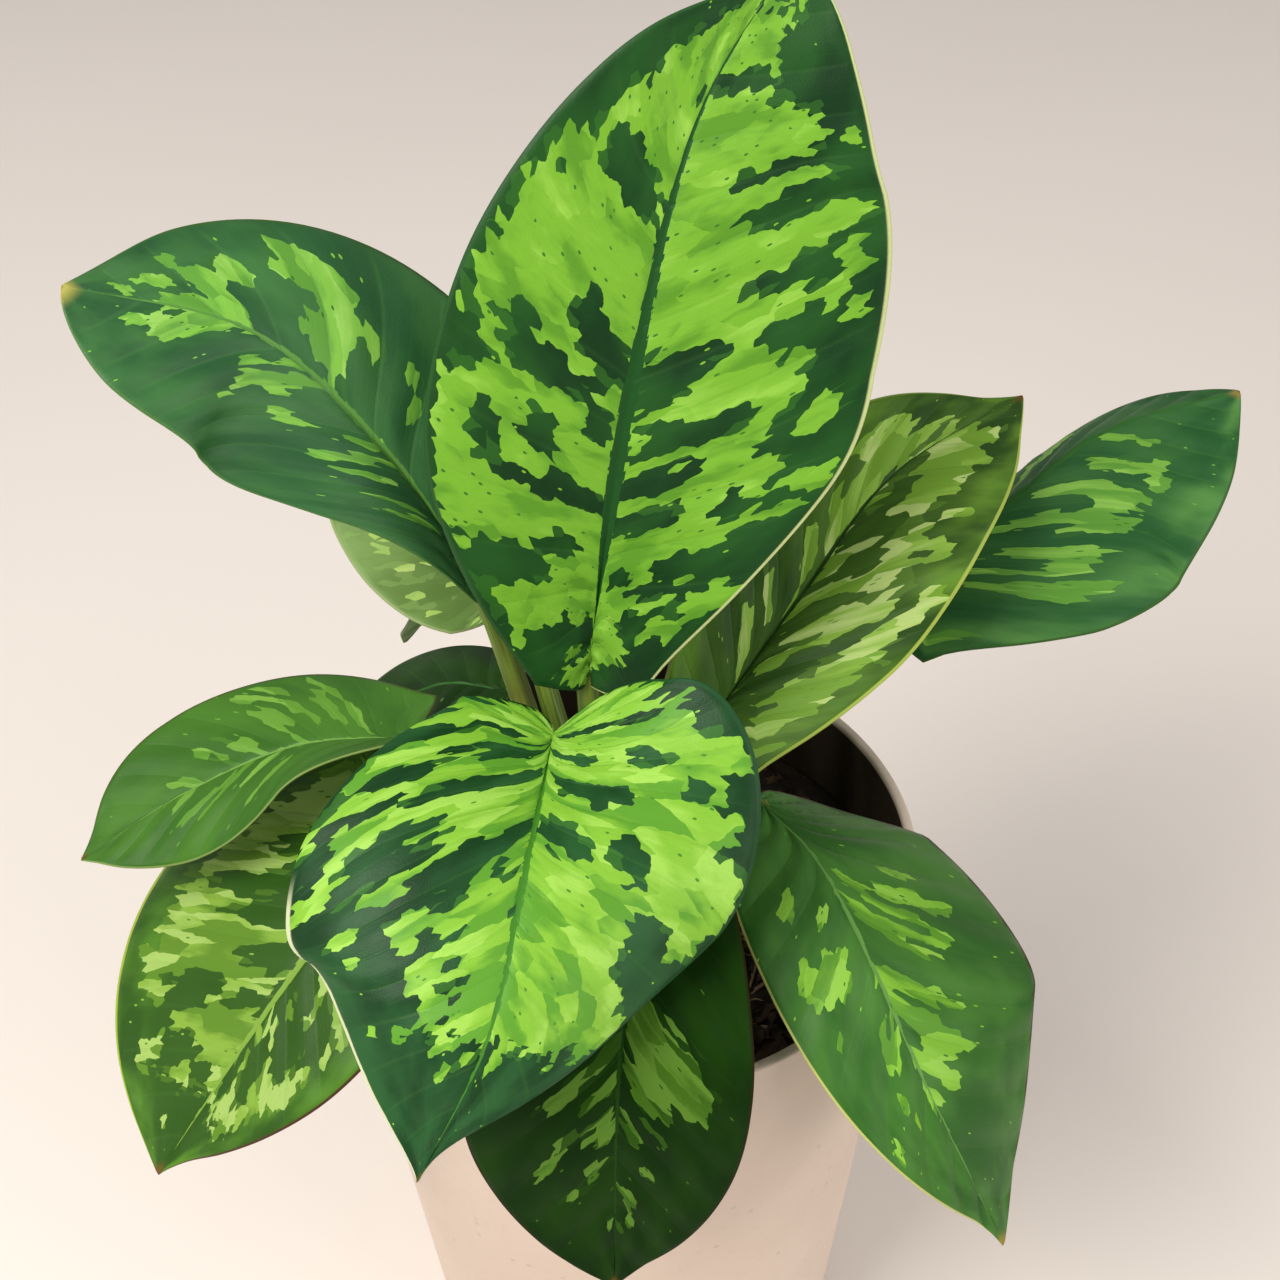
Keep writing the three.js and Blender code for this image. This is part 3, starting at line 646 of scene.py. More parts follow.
class Wiring:
    def __init__(self, tree):
        self.tree = tree

    def add(self, kind, inputs=None, **settings):
        node = self.tree.nodes.new(kind)
        for key, value in settings.items():
            setattr(node, key, value)
        for key, value in (inputs or {}).items():
            if isinstance(value, Term):
                self.tree.links.new(value.socket, node.inputs[key])
            elif value is not None:
                node.inputs[key].default_value = value
        return Term(self, node)

    def outputs(self, **values):
        self.add("NodeGroupOutput", values)
        return self.tree

    def use(self, tree, inputs):
        return self.add("ShaderNodeGroup", inputs, node_tree=tree)

    def math(self, operation, a, b=None):
        """A math node, or a vector math node where either value is a vector."""
        wide = any(isinstance(v, tuple) or isinstance(v, Term) and v.socket.type != "VALUE" for v in (a, b))
        kind = "ShaderNodeVectorMath" if wide else "ShaderNodeMath"
        return self.add(kind, {0: a, 1: b}, operation=operation)

    def step(self, value, low, high):
        """A smooth climb from 0 to 1 as value goes from low to high."""
        inputs = {"Value": value, "From Min": low, "From Max": high}
        return self.add("ShaderNodeMapRange", inputs, interpolation_type="SMOOTHSTEP")

    def mix(self, share, a, b):
        return self.add("ShaderNodeMix", {0: share, 6: a, 7: b}, data_type="RGBA")[2]

    def split(self, vector):
        return self.add("ShaderNodeSeparateXYZ", {0: vector})

    def join(self, x, y, z=0.0):
        return self.add("ShaderNodeCombineXYZ", {0: x, 1: y, 2: z})

    def noise(self, vector, scale, detail=2.0, roughness=0.5):
        inputs = {"Vector": vector, "Scale": scale, "Detail": detail, "Roughness": roughness}
        return self.add("ShaderNodeTexNoise", inputs)

    def cells(self, vector, randomness=1.0):
        inputs = {"Vector": vector, "Scale": 1.0, "Randomness": randomness}
        return self.add("ShaderNodeTexVoronoi", inputs, voronoi_dimensions="2D")

    def coords(self):
        return self.add("ShaderNodeTexCoord")["Object"]

    def reading(self, name):
        """A point attribute of the mesh, in a material."""
        return self.add("ShaderNodeAttribute", attribute_name=name)["Fac"]

    def named(self, name, kind="FLOAT"):
        """A point attribute of the mesh, in a geometry tree."""
        return self.add("GeometryNodeInputNamedAttribute", {"Name": name}, data_type=kind)["Attribute"]

    def moved(self, geometry, offset):
        return self.add("GeometryNodeSetPosition", {"Geometry": geometry, "Offset": offset})

    def real(self, geometry):
        return self.add("GeometryNodeRealizeInstances", {0: geometry})

    def painted(self, geometry, material, selection=None):
        inputs = {"Geometry": geometry, "Material": material, "Selection": selection}
        return self.add("GeometryNodeSetMaterial", inputs)


def node_group(name, inputs, outputs):
    """An empty shader group with named sockets: its wiring and what comes in."""
    tree = bpy.data.node_groups.new(name, "ShaderNodeTree")
    kinds = {3: "NodeSocketVector", 4: "NodeSocketColor"}
    for side, sockets in (("INPUT", inputs), ("OUTPUT", outputs)):
        for label, value in sockets.items():
            kind = kinds[len(value)] if isinstance(value, tuple) else "NodeSocketFloat"
            tree.interface.new_socket(label, in_out=side, socket_type=kind).default_value = value
    wiring = Wiring(tree)
    return wiring, wiring.add("NodeGroupInput")


def seen(red, green, blue):
    """A colour as it is seen, 0 to 255, in the linear values that shaders take."""
    shares = (c / 255 for c in (red, green, blue))
    return (*(((c + 0.055) / 1.055) ** 2.4 if c > 0.04 else c / 12.92 for c in shares), 1.0)


# Materials.

HALF_APART = 500.0
FAR = 9.0
NO_VECTOR = (0.0, 0.0, 0.0)
BLACK = (0.0, 0.0, 0.0, 1.0)

# Values and colours that most leaves share, and after them what single leaves have of their own.
LEAF_LOOKS = {
    "Wander": 0.55, "Fray": 0.4, "Blotch": 0.2, "Inner Shade": 0.0, "Vein Lines": 0.08,
    "Midrib Width": 0.012, "Midrib Taper": 0.02, "Right Margin Width": 0.01, "Right Margin From": 0.0,
    "Green": (28, 78, 26), "Deep Green": (10, 50, 18), "Middle Green": (54, 112, 34),
    "Lime": (114, 170, 46), "Deep Lime": (86, 142, 36), "Pale Lime": (140, 192, 70),
    "Midrib": (48, 102, 38), "Vein": (78, 132, 52), "Left Margin": (54, 96, 36),
    "Right Margin": (54, 96, 36), "Margin Scorch": (88, 66, 32), "Tip": (110, 80, 30),
    "Underside": (92, 130, 66),
}
OWN_LOOKS = {
    "leaf_centre": {
        "Midrib": (22, 74, 24), "Midrib Width": 0.008, "Midrib Taper": 0.06, "Vein Lines": 0.05,
        "Left Margin": (36, 80, 34), "Right Margin": (196, 206, 142), "Right Margin Width": 0.008,
    },
    # leaf_upper_left's greens are lighter and greyer than the shared ones: partly painted sheen over its own
    # green.
    "leaf_upper_left": {
        "Green": (58, 112, 56), "Deep Green": (34, 86, 44), "Lime": (124, 186, 66),
        "Deep Lime": (94, 156, 54), "Pale Lime": (150, 204, 92), "Blotch": 0.4,
        "Midrib": (88, 142, 60), "Midrib Taper": 0.03, "Vein": (78, 134, 66), "Vein Lines": 0.16,
        "Left Margin": (70, 116, 54), "Tip": (175, 170, 80),
    },
    "leaf_front": {
        "Green": (38, 88, 44), "Deep Green": (14, 56, 22), "Middle Green": (70, 134, 42),
        "Lime": (132, 188, 56), "Deep Lime": (92, 154, 44), "Pale Lime": (160, 210, 86),
        "Blotch": 0.5, "Midrib": (66, 128, 36), "Midrib Width": 0.01, "Midrib Taper": 0.012,
        "Left Margin": (32, 76, 40), "Right Margin": (210, 215, 175),
        "Right Margin Width": 0.016, "Right Margin From": 0.44,
    },
    "leaf_low_left": {
        "Green": (80, 130, 32), "Deep Green": (40, 80, 14), "Middle Green": (88, 130, 32),
        "Lime": (128, 168, 58), "Deep Lime": (90, 132, 34), "Pale Lime": (158, 190, 98),
        "Blotch": 0.8, "Inner Shade": 0.9, "Midrib": (124, 162, 60),
        "Left Margin": (75, 45, 28), "Right Margin": (160, 182, 60),
    },
    "leaf_left": {
        "Green": (68, 118, 34), "Deep Green": (52, 100, 26), "Middle Green": (84, 134, 42),
        "Lime": (100, 152, 52), "Deep Lime": (88, 140, 42), "Pale Lime": (116, 164, 62),
        "Blotch": 0.5, "Midrib": (104, 152, 60), "Vein Lines": 0.04,
        "Left Margin": (122, 148, 78), "Right Margin": (74, 84, 32),
    },
    "leaf_left_behind": {
        "Green": (34, 68, 18), "Deep Green": (22, 52, 12), "Vein Lines": 0.05,
    },
    # leaf_low_front's colours are a darker, shaded copy of the leaf colours: painted shade for the leaf that
    # hangs low under leaf_front.
    "leaf_low_front": {
        "Green": (24, 56, 8), "Deep Green": (14, 42, 6), "Middle Green": (34, 72, 14),
        "Lime": (64, 104, 26), "Deep Lime": (44, 80, 16), "Pale Lime": (88, 128, 44),
        "Blotch": 0.8, "Midrib": (30, 66, 14), "Midrib Width": 0.008, "Midrib Taper": 0.012,
        "Vein": (44, 80, 22), "Vein Lines": 0.05,
        "Left Margin": (40, 38, 10), "Right Margin": (40, 38, 10),
    },
    "leaf_low_right": {
        "Green": (66, 118, 42), "Deep Green": (42, 92, 28), "Lime": (124, 180, 52),
        "Blotch": 0.5, "Midrib": (96, 144, 66), "Midrib Width": 0.005, "Midrib Taper": 0.012,
        "Vein": (82, 130, 54), "Left Margin": (72, 56, 26), "Right Margin": (186, 190, 106),
        "Right Margin Width": 0.012, "Tip": (160, 138, 52),
    },
    # leaf_right's Inner Shade and its dark Deep Green are painted shade in the fold of its blade.
    "leaf_right": {
        "Green": (100, 144, 44), "Deep Green": (42, 76, 20), "Middle Green": (104, 148, 48),
        "Lime": (146, 190, 72), "Deep Lime": (118, 164, 50), "Pale Lime": (188, 214, 126),
        "Blotch": 0.8, "Inner Shade": 0.6, "Wander": 0.45, "Fray": 0.3, "Midrib": (44, 76, 22),
        "Left Margin": (120, 150, 60), "Right Margin": (166, 186, 80), "Right Margin Width": 0.016,
    },
    "leaf_far_right": {
        "Green": (80, 134, 64), "Deep Green": (34, 88, 42), "Lime": (116, 172, 64),
        "Deep Lime": (92, 150, 54), "Pale Lime": (138, 190, 82), "Blotch": 0.5,
        "Inner Shade": 0.7, "Vein Lines": 0.14, "Tip": (150, 128, 66),
    },
    # leaf_back_left's pale grey-greens are painted light: the sheen of light from behind it.
    "leaf_back_left": {
        "Green": (128, 162, 88), "Deep Green": (104, 136, 68), "Middle Green": (150, 186, 104),
        "Lime": (178, 212, 108), "Deep Lime": (166, 202, 106), "Pale Lime": (202, 228, 138),
        "Left Margin": (150, 170, 110), "Right Margin": (150, 170, 110),
    },
}
PATCH_SPREAD = (1.2, 1.1)
SHINE = {"leaf_low_front": 0.03, "leaf_upper_left": 0.3}
CELL_ACROSS = {"leaf_right": 3.2, "leaf_low_right": 2.0, "leaf_far_right": 2.0}


def looks_of(name):
    """The shared looks with one leaf's own over them, its colours as shaders take them."""
    looks = {**LEAF_LOOKS, **OWN_LOOKS.get(name, {})}
    return {key: seen(*value) if isinstance(value, tuple) else value for key, value in looks.items()}


def leaf_cells():
    """Small ragged cells stretched along the side veins. Place is (vein, side) at a cell's middle."""
    wiring, inputs = node_group(
        "leaf_cells",
        {"Length": 130.0, "Half Width": 35.0, "Across": 1.6, "Along": 2.7, "Ragged": 1.2, "Seed": 0.0},
        {"Place": NO_VECTOR, "Surface": NO_VECTOR, "Tone": 0.0, "Streak": 0.0},
    )
    side, length, half_width = wiring.reading("side"), inputs["Length"], inputs["Half Width"]
    # Each half of the blade has cells of its own, so no patch runs over the midrib.
    half = (side > 0.0) * (2 * HALF_APART) - HALF_APART + inputs["Seed"]
    surface = wiring.join(wiring.reading("vein") * length, side * half_width + half)
    warp = wiring.noise(surface, 0.45, 1.0)["Color"] - (0.5, 0.5, 0.5)
    bent = surface + warp * inputs["Ragged"]
    size = wiring.join(inputs["Across"], inputs["Along"], 1.0)
    cell = wiring.cells(bent / size, 0.9)
    at = wiring.split(cell["Position"] * size)
    place = wiring.join(at[0] / length, (at[1] - half) / half_width)
    streak = wiring.cells(bent / wiring.join(inputs["Across"] * 2.0, inputs["Along"] * 3.6, 1.0))
    tone, long_tone = (wiring.split(pattern["Color"]) for pattern in (cell, streak))
    return wiring.outputs(Place=place, Surface=surface, Tone=tone, Streak=long_tone)


def leaf_ground():
    """The plain leaf under its patches: over 0 is lime and under 0 is green."""
    wiring, inputs = node_group(
        "leaf_ground",
        {"Place": NO_VECTOR, "Ground": -1.0, "Left Band": 2.0, "Right Band": 2.0, "Tip Band": 2.0},
        {"Field": 0.0},
    )
    side = wiring.split(inputs["Place"])[1]
    in_bands = wiring.math("MINIMUM", side + inputs["Left Band"], inputs["Right Band"] - side)
    in_tip = (inputs["Tip Band"] - wiring.reading("row")) * 2.0
    edge = wiring.math("MINIMUM", in_bands, in_tip) * 6.0
    return wiring.outputs(Field=wiring.math("MINIMUM", inputs["Ground"], edge))


def leaf_patch():
    """The way to the nearest oval patch so far, where 1 is the edge of a patch."""
    wiring, inputs = node_group(
        "leaf_patch",
        {"Nearest": FAR, "Place": NO_VECTOR, "Middle": NO_VECTOR, "Size": (1.0, 1.0, 1.0)},
        {"Nearest": 0.0},
    )
    away = wiring.math("LENGTH", (inputs["Place"] - inputs["Middle"]) / inputs["Size"])["Value"]
    return wiring.outputs(Nearest=wiring.math("MINIMUM", inputs["Nearest"], away))


def leaf_coat():
    """All of a blade's colour, and its roughness and fine height, from its field of patches."""
    wiring, inputs = node_group(
        "leaf_coat",
        {
            "Field": 0.0, "Place": NO_VECTOR, "Surface": NO_VECTOR, "Tone": 0.0, "Streak": 0.0,
            "Length": 130.0, "Half Width": 35.0, "Veins": 10.0, **looks_of(""),
        },
        {"Color": BLACK, "Roughness": 0.4, "Height": 0.0},
    )
    mix, step = wiring.mix, wiring.step
    row, side, vein, skin = (wiring.reading(key) for key in ("row", "side", "vein", "skin"))
    reach, surface, tone, streak = abs(side), inputs["Surface"], inputs["Tone"], inputs["Streak"]

    # The edge of each patch wanders, and single cells fall on either side of it.
    at_cell = inputs["Place"] * wiring.join(inputs["Length"], inputs["Half Width"])
    wander = wiring.noise(at_cell, 0.13, 3.0)
    field = inputs["Field"] + (wander - 0.5) * inputs["Wander"] + (tone - 0.5) * inputs["Fray"]

    # Lime comes in three tones, in soft blotches along the side veins and in crisp streaks.
    blend = wiring.noise(surface * (0.16, 0.06, 1.0), 1.0, 3.0) + (streak - 0.5) * inputs["Blotch"]
    lime = mix(step(blend, 0.34, 0.52), inputs["Deep Lime"], inputs["Lime"])
    lime = mix(step(blend, 0.56, 0.76), lime, inputs["Pale Lime"])
    fine = wiring.noise(surface * (2.2, 0.35, 1.0), 1.0, 3.0, 0.6)
    lime = mix(step(fine, 0.45, 0.75) * 0.16, lime, inputs["Deep Lime"])
    green = mix(step(wiring.noise(surface, 0.05, 3.0), 0.35, 0.65), inputs["Deep Green"], inputs["Green"])
    # Inner Shade darkens the green away from the margins: on leaf_right it is painted shade in the fold of
    # the blade, on the other leaves a darker inner green.
    green = mix(step(reach, 0.85, 0.6) * inputs["Inner Shade"], green, inputs["Deep Green"])
    green = mix((field > -0.12) * (streak > 0.45) * 0.4, green, inputs["Middle Green"])

    # Small specks of green in the lime, and fewer of lime in the green.
    grain = wiring.cells(surface / (1.1, 2.2, 1.0))
    pick, small = wiring.split(grain["Color"]), grain["Distance"] < 0.2
    lime = mix((pick > 0.95) * small, lime, inputs["Middle Green"])
    green = mix((pick < 0.012) * small, green, inputs["Lime"])
    colour = mix(field > 0.0, green, lime)

    # Side veins, with finer ones between them.
    count = vein * inputs["Veins"]
    ridge, fine_ridge = (abs(wiring.math("COSINE", count * (k * math.pi))) for k in (1, 4))
    lines = ridge**90.0 * step(reach, 1.0, 0.8) + fine_ridge**12.0 * 0.18
    colour = mix(lines * inputs["Vein Lines"], colour, inputs["Vein"])

    # The midrib is a band that widens to the base, with ragged edges.
    half_band = (1.0 - row) * inputs["Midrib Taper"] + inputs["Midrib Width"]
    colour = mix(reach < half_band + (tone - 0.5) * 0.012, colour, inputs["Midrib"])

    # Margins: a thin pale line, scorched here and there, and a scorched tip.
    on_right = side > 0.0
    margin_at = 1.0 - wiring.add("ShaderNodeMix", {0: on_right, 2: 0.01, 3: inputs["Right Margin Width"]})
    margin_from = on_right * inputs["Right Margin From"]
    along = wiring.noise(wiring.join(row * inputs["Length"], side), 0.09, 3.0)
    edge = step(reach, margin_at - 0.012, margin_at) * step(row, margin_from, margin_from + 0.06)
    margin = mix(on_right, inputs["Left Margin"], inputs["Right Margin"])
    margin = mix(step(along, 0.7, 0.76), margin, inputs["Margin Scorch"])
    colour = mix(edge * step(along, 0.2, 0.32), colour, margin)
    colour = mix(step(row, 0.965, 0.995), colour, inputs["Tip"])

    # The underside is paler, and the markings only show through it.
    below = skin < 0.0
    colour = mix(below * 0.72, colour, inputs["Underside"])
    rough = wiring.noise(surface, 0.12, 3.0) * 0.2 + 0.34 + below * 0.15
    height = wiring.noise(surface, 2.5) * 0.5 - lines * 0.5
    return wiring.outputs(Color=colour, Roughness=rough, Height=height)


CELLS, GROUND, PATCH, COAT = leaf_cells(), leaf_ground(), leaf_patch(), leaf_coat()


def new_material(name):
    material = bpy.data.materials.new(name)
    material.use_nodes = True
    return material, Wiring(material.node_tree)


def coated(material, wiring, colour, rough, height, distance, strength):
    """Links a finish to its material's shader, with a bump of the height, and gives the shader's inputs."""
    shader = material.node_tree.nodes["Principled BSDF"].inputs
    bump = wiring.add("ShaderNodeBump", {"Height": height, "Distance": distance, "Strength": strength})
    for key, term in {"Base Color": colour, "Roughness": rough, "Normal": bump}.items():
        wiring.tree.links.new(term.socket, shader[key])
    return shader


def leaf_material(name, leaf, seed):
    """One leaf's own material: its cells, its ground, its patches and its coat."""
    material, wiring = new_material(name + "_blade")
    looks = MARKINGS[name]
    length = float(smooth_line(leaf.midrib, 2)[1])
    sizes = {"Length": length, "Half Width": (leaf.left.width + leaf.right.width) / 2}
    own = {**sizes, "Across": CELL_ACROSS.get(name, 1.6), "Seed": 37.0 * seed}
    cells = wiring.use(CELLS, own)
    bands = {"Left Band": looks.bands[0], "Right Band": looks.bands[1], "Tip Band": looks.tip}
    field = wiring.use(GROUND, {"Place": cells["Place"], "Ground": looks.ground, **bands})

    def nearest(patches):
        way = FAR
        for row, side, across, along in patches:
            row, side, across, along = row / 1000, side / 100, across / 1000, along / 100
            middle = (float(vein_at(leaf, row, side)), side, 0.0)
            size = (across * PATCH_SPREAD[0], along * PATCH_SPREAD[1], 1.0)
            patch = {"Place": cells["Place"], "Middle": middle, "Size": size}
            way = wiring.use(PATCH, {"Nearest": way, **patch})
        return way

    field = wiring.math("MINIMUM", field, nearest(looks.green) - 1.0)
    field = wiring.math("MAXIMUM", field, 1.0 - nearest(looks.lime))
    shared = {key: cells[key] for key in ("Place", "Surface", "Tone", "Streak")}
    shared.update({"Field": field, "Veins": float(leaf.veins)})
    coat = wiring.use(COAT, {**shared, **sizes, **looks_of(name)})
    shader = coated(material, wiring, coat["Color"], coat["Roughness"], coat["Height"], 0.0002, 0.6)
    shader["Specular IOR Level"].default_value = SHINE.get(name, 0.18)
    shader["Coat Weight"].default_value = 0.02
    shader["Coat Roughness"].default_value = 0.3
    return material


def stalk_finish():
    """Olive stalks with lighter ridges, fine lengthwise lines and a paler foot."""
    material, wiring = new_material("stalk_olive")
    mix, step = wiring.mix, wiring.step
    along, across, run = (wiring.reading(key) for key in ("row", "side", "vein"))
    streaks = wiring.noise(wiring.join(across * 9.0, run * 0.05), 1.0, 3.0)
    blotch = wiring.noise(wiring.coords(), 90.0, 3.0)
    colour = mix(step(streaks, 0.35, 0.65), seen(66, 96, 20), seen(112, 134, 40))
    colour = mix(step(blotch, 0.5, 0.75) * 0.4, colour, seen(104, 84, 40))
    colour = mix(step(along, 0.22, 0.0), colour, seen(104, 84, 46))
    coated(material, wiring, colour, blotch * 0.2 + 0.38, streaks + blotch * 0.4, 0.0003, 0.5)
    return material


def pot_finish():
    """A smooth matt white pot, a little uneven, with painted shade at its foot and a dark inside below the
    lip.
    """
    material, wiring = new_material("pot_white")
    mix, step, coords = wiring.mix, wiring.step, wiring.coords()
    place = wiring.split(coords)
    broad = wiring.noise(coords, 14.0, 3.0)
    fine = wiring.noise(coords, 420.0, 3.0, 0.6)
    pits = wiring.add("ShaderNodeTexVoronoi", {"Vector": coords, "Scale": 260.0})
    pit = step(pits["Distance"], 0.22, 0.1) * (wiring.split(pits["Color"]) > 0.9)
    colour = mix(step(broad, 0.3, 0.7), seen(208, 188, 172), seen(218, 199, 184))
    colour = mix(step(fine, 0.55, 0.8) * 0.25, colour, seen(194, 174, 158))
    colour = mix(pit * 0.5, colour, seen(180, 160, 145))
    # Painted shade: the lowest 12 mm of the pot, where it stands on the floor, darkened in patches.
    foot_shade = step(place[2], 0.012, 0.0) * step(broad, 0.35, 0.6)
    colour = mix(foot_shade * 0.5, colour, seen(170, 150, 135))
    radius = wiring.math("SQRT", place[0] ** 2.0 + place[1] ** 2.0)
    taper = (RIM_RADIUS - BASE_RADIUS) / POT_HEIGHT
    inside = (radius < place[2] * taper + (BASE_RADIUS - POT_WALL / 2) * MM) * step(place[2], 0.1792, 0.1785)
    colour = mix(inside, colour, mix(step(broad, 0.3, 0.7), seen(40, 32, 24), seen(58, 46, 36)))
    coated(material, wiring, colour, fine * 0.2 + 0.42, broad * 0.6 + fine * 0.1 - pit, 0.0002, 0.4)
    return material


def crumb_finish(name, dark, light, pale, scale, roughness):
    """Rough plant stuff: two tones in clumps and pale flecks."""
    material, wiring = new_material(name)
    coords = wiring.coords()
    clump = wiring.noise(coords, scale, 4.0, 0.65)
    fleck = wiring.noise(coords, scale * 4.1)
    colour = wiring.mix(wiring.step(clump, 0.35, 0.65), seen(*dark), seen(*light))
    colour = wiring.mix(wiring.step(fleck, 0.68, 0.76), colour, seen(*pale))
    coated(material, wiring, colour, fleck * 0.2 + roughness, clump, 0.001, 0.7)
    return material


def floor_finish():
    material, wiring = new_material("floor_pale")
    soft = wiring.noise(wiring.coords(), 3.0)
    colour = wiring.mix(soft, seen(240, 231, 224), seen(246, 238, 231))
    shader = material.node_tree.nodes["Principled BSDF"].inputs
    wiring.tree.links.new(colour.socket, shader["Base Color"])
    shader["Roughness"].default_value = 0.85
    return material


stalk_material = stalk_finish()
pot_material = pot_finish()
mix_material = crumb_finish("mix_dark", (20, 13, 11), (46, 32, 24), (92, 70, 52), 220.0, 0.75)
bark_material = crumb_finish("bark_brown", (38, 24, 17), (82, 56, 38), (120, 92, 66), 160.0, 0.7)
root_material = crumb_finish("root_pale", (134, 106, 80), (184, 154, 122), (205, 180, 150), 300.0, 0.7)


# Geometry trees: the relief of the blades and of the mix, and the bark that lies on it.


def geometry_tree(name, numbers, materials):
    """An empty geometry tree with named inputs: its wiring and what comes in."""
    tree = bpy.data.node_groups.new(name, "GeometryNodeTree")
    kinds = [("Geometry", "INPUT", "Geometry"), *((key, "INPUT", "Float") for key in numbers)]
    kinds += [*((key, "INPUT", "Material") for key in materials), ("Geometry", "OUTPUT", "Geometry")]
    for key, side, kind in kinds:
        tree.interface.new_socket(key, in_out=side, socket_type="NodeSocket" + kind)
    wiring = Wiring(tree)
    return wiring, wiring.add("NodeGroupInput")


def relief_tree():
    """Moves both skins of a blade together: furrows on the side veins, pleats between, puckers."""
    numbers = ("Veins", "Furrow", "Pleat", "Pucker", "Pucker Scale")
    wiring, inputs = geometry_tree("blade_relief", numbers, ("Blade Material", "Stalk Material"))
    count = wiring.named("vein") * inputs["Veins"]
    pleats = wiring.math("COSINE", count * (2 * math.pi)) * (inputs["Pleat"] * -0.5)
    furrow = abs(wiring.math("COSINE", count * math.pi)) ** 24.0 * inputs["Furrow"]
    noise = wiring.add("ShaderNodeTexNoise", {"Scale": inputs["Pucker Scale"]})
    height = pleats - furrow + (noise - 0.5) * inputs["Pucker"]
    offset = wiring.named("lift", "FLOAT_VECTOR") * (height * MM)
    blade = wiring.real(wiring.moved(inputs["Geometry"], offset))
    blade = wiring.painted(blade, inputs["Blade Material"])
    on_stalk = abs(wiring.named("skin")) < 0.5
    return wiring.outputs(Geometry=wiring.painted(blade, inputs["Stalk Material"], on_stalk))


def crumb_tree():
    """Roughens the loose top of the mix at two sizes."""
    numbers = ("Clump", "Clump Scale", "Grain", "Grain Scale")
    wiring, inputs = geometry_tree("mix_crumbs", numbers, ("Material",))

    def bumps(key):
        noise = wiring.add("ShaderNodeTexNoise", {"Scale": inputs[key + " Scale"], "Detail": 3.0})
        return (noise - 0.5) * inputs[key]

    lift = (bumps("Clump") + bumps("Grain")) * wiring.named("loose") * MM
    rough = wiring.real(wiring.moved(inputs["Geometry"], wiring.join(0.0, 0.0, lift)))
    return wiring.outputs(Geometry=wiring.painted(rough, inputs["Material"]))


def litter_tree():
    """Strews rough chips over a surface, each turned and sized at random."""
    numbers = ("Density", "Smallest", "Largest", "Tilt", "Ragged", "Seed")
    wiring, inputs = geometry_tree("bark_litter", numbers, ("Material",))
    seeds = [inputs["Seed"] + float(k) for k in range(4)]
    strewn = {"Mesh": inputs["Geometry"], "Density": inputs["Density"], "Seed": seeds[0]}
    points = wiring.add("GeometryNodeDistributePointsOnFaces", strewn)
    # The chip is one cube of a few faces, longer than it is wide and thick.
    cube = {"Size": (1.0, 0.6, 0.3), "Vertices X": 4, "Vertices Y": 3, "Vertices Z": 3}
    chip = wiring.add("GeometryNodeMeshCube", cube)

    def random(low, high, seed, kind="FLOAT"):
        first, out = (0, 0) if kind == "FLOAT_VECTOR" else (2, 1)
        values = {first: low, first + 1: high, 8: seed}
        return wiring.add("FunctionNodeRandomValue", values, data_type=kind)[out]

    lean = wiring.join(inputs["Tilt"], inputs["Tilt"], math.pi)
    turn = random(lean * (-1.0, -1.0, -1.0), lean, seeds[1], "FLOAT_VECTOR")
    size = random(inputs["Smallest"], inputs["Largest"], seeds[2])
    scale = random((0.8, 0.7, 0.6), (1.4, 1.2, 1.5), seeds[3], "FLOAT_VECTOR") * (size * MM)
    rotation = wiring.add("FunctionNodeEulerToRotation", {0: turn})
    copies = {"Points": points, "Instance": chip, "Rotation": rotation, "Scale": scale}
    chips = wiring.real(wiring.add("GeometryNodeInstanceOnPoints", copies))
    noise = wiring.noise(wiring.add("GeometryNodeInputPosition"), 420.0)["Color"]
    ragged = wiring.moved(chips, (noise - (0.5, 0.5, 0.5)) * (inputs["Ragged"] * MM))
    return wiring.outputs(Geometry=wiring.painted(ragged, inputs["Material"]))


def apply_tree(piece, tree, values):
    """Runs a node tree on a piece with its named inputs, and keeps the result as a plain mesh."""
    modifier = piece.modifiers.new(tree.name, "NODES")
    modifier.node_group = tree
    for item in tree.interface.items_tree:
        if item.in_out == "INPUT" and item.name in values:
            modifier[item.identifier] = values[item.name]
    graph = bpy.context.evaluated_depsgraph_get()
    made = bpy.data.meshes.new_from_object(piece.evaluated_get(graph), depsgraph=graph)
    piece.modifiers.remove(modifier)
    old = piece.data
    piece.data = made
    made.name = piece.name
    bpy.data.meshes.remove(old)


# Pieces.


def stands_for(piece, node):
    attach(piece, "root")
    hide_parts(node)


relief = relief_tree()


def build_leaf(name, leaf, seed):
    blade = blade_rings(leaf)
    stalk = stalk_rings(leaf)
    points, faces = tube(*blade[:3])
    stalk_points, stalk_faces = tube(*stalk[:3])
    faces += [[v + len(points) for v in face] for face in stalk_faces]
    scalars = {key: np.concatenate([blade[3][key], stalk[3][key]]) for key in blade[3]}
    lifts = np.vstack([blade[4].reshape(-1, 3), np.zeros((2 + len(stalk_points), 3))])
    points = np.vstack([points, stalk_points])
    piece = make_piece(name + "_live", points, faces, (), scalars, {"lift": lifts})
    values = {
        "Veins": float(leaf.veins), "Furrow": leaf.furrow, "Pleat": leaf.pleat,
        "Pucker": PUCKER, "Pucker Scale": PUCKER_SCALE,
        "Blade Material": leaf_material(name, leaf, seed), "Stalk Material": stalk_material,
    }
    apply_tree(piece, relief, values)
    stands_for(piece, name)


def wall_at(height):
    """The radius of the pot's outside at a height."""
    return BASE_RADIUS + (RIM_RADIUS - BASE_RADIUS) * height / POT_HEIGHT


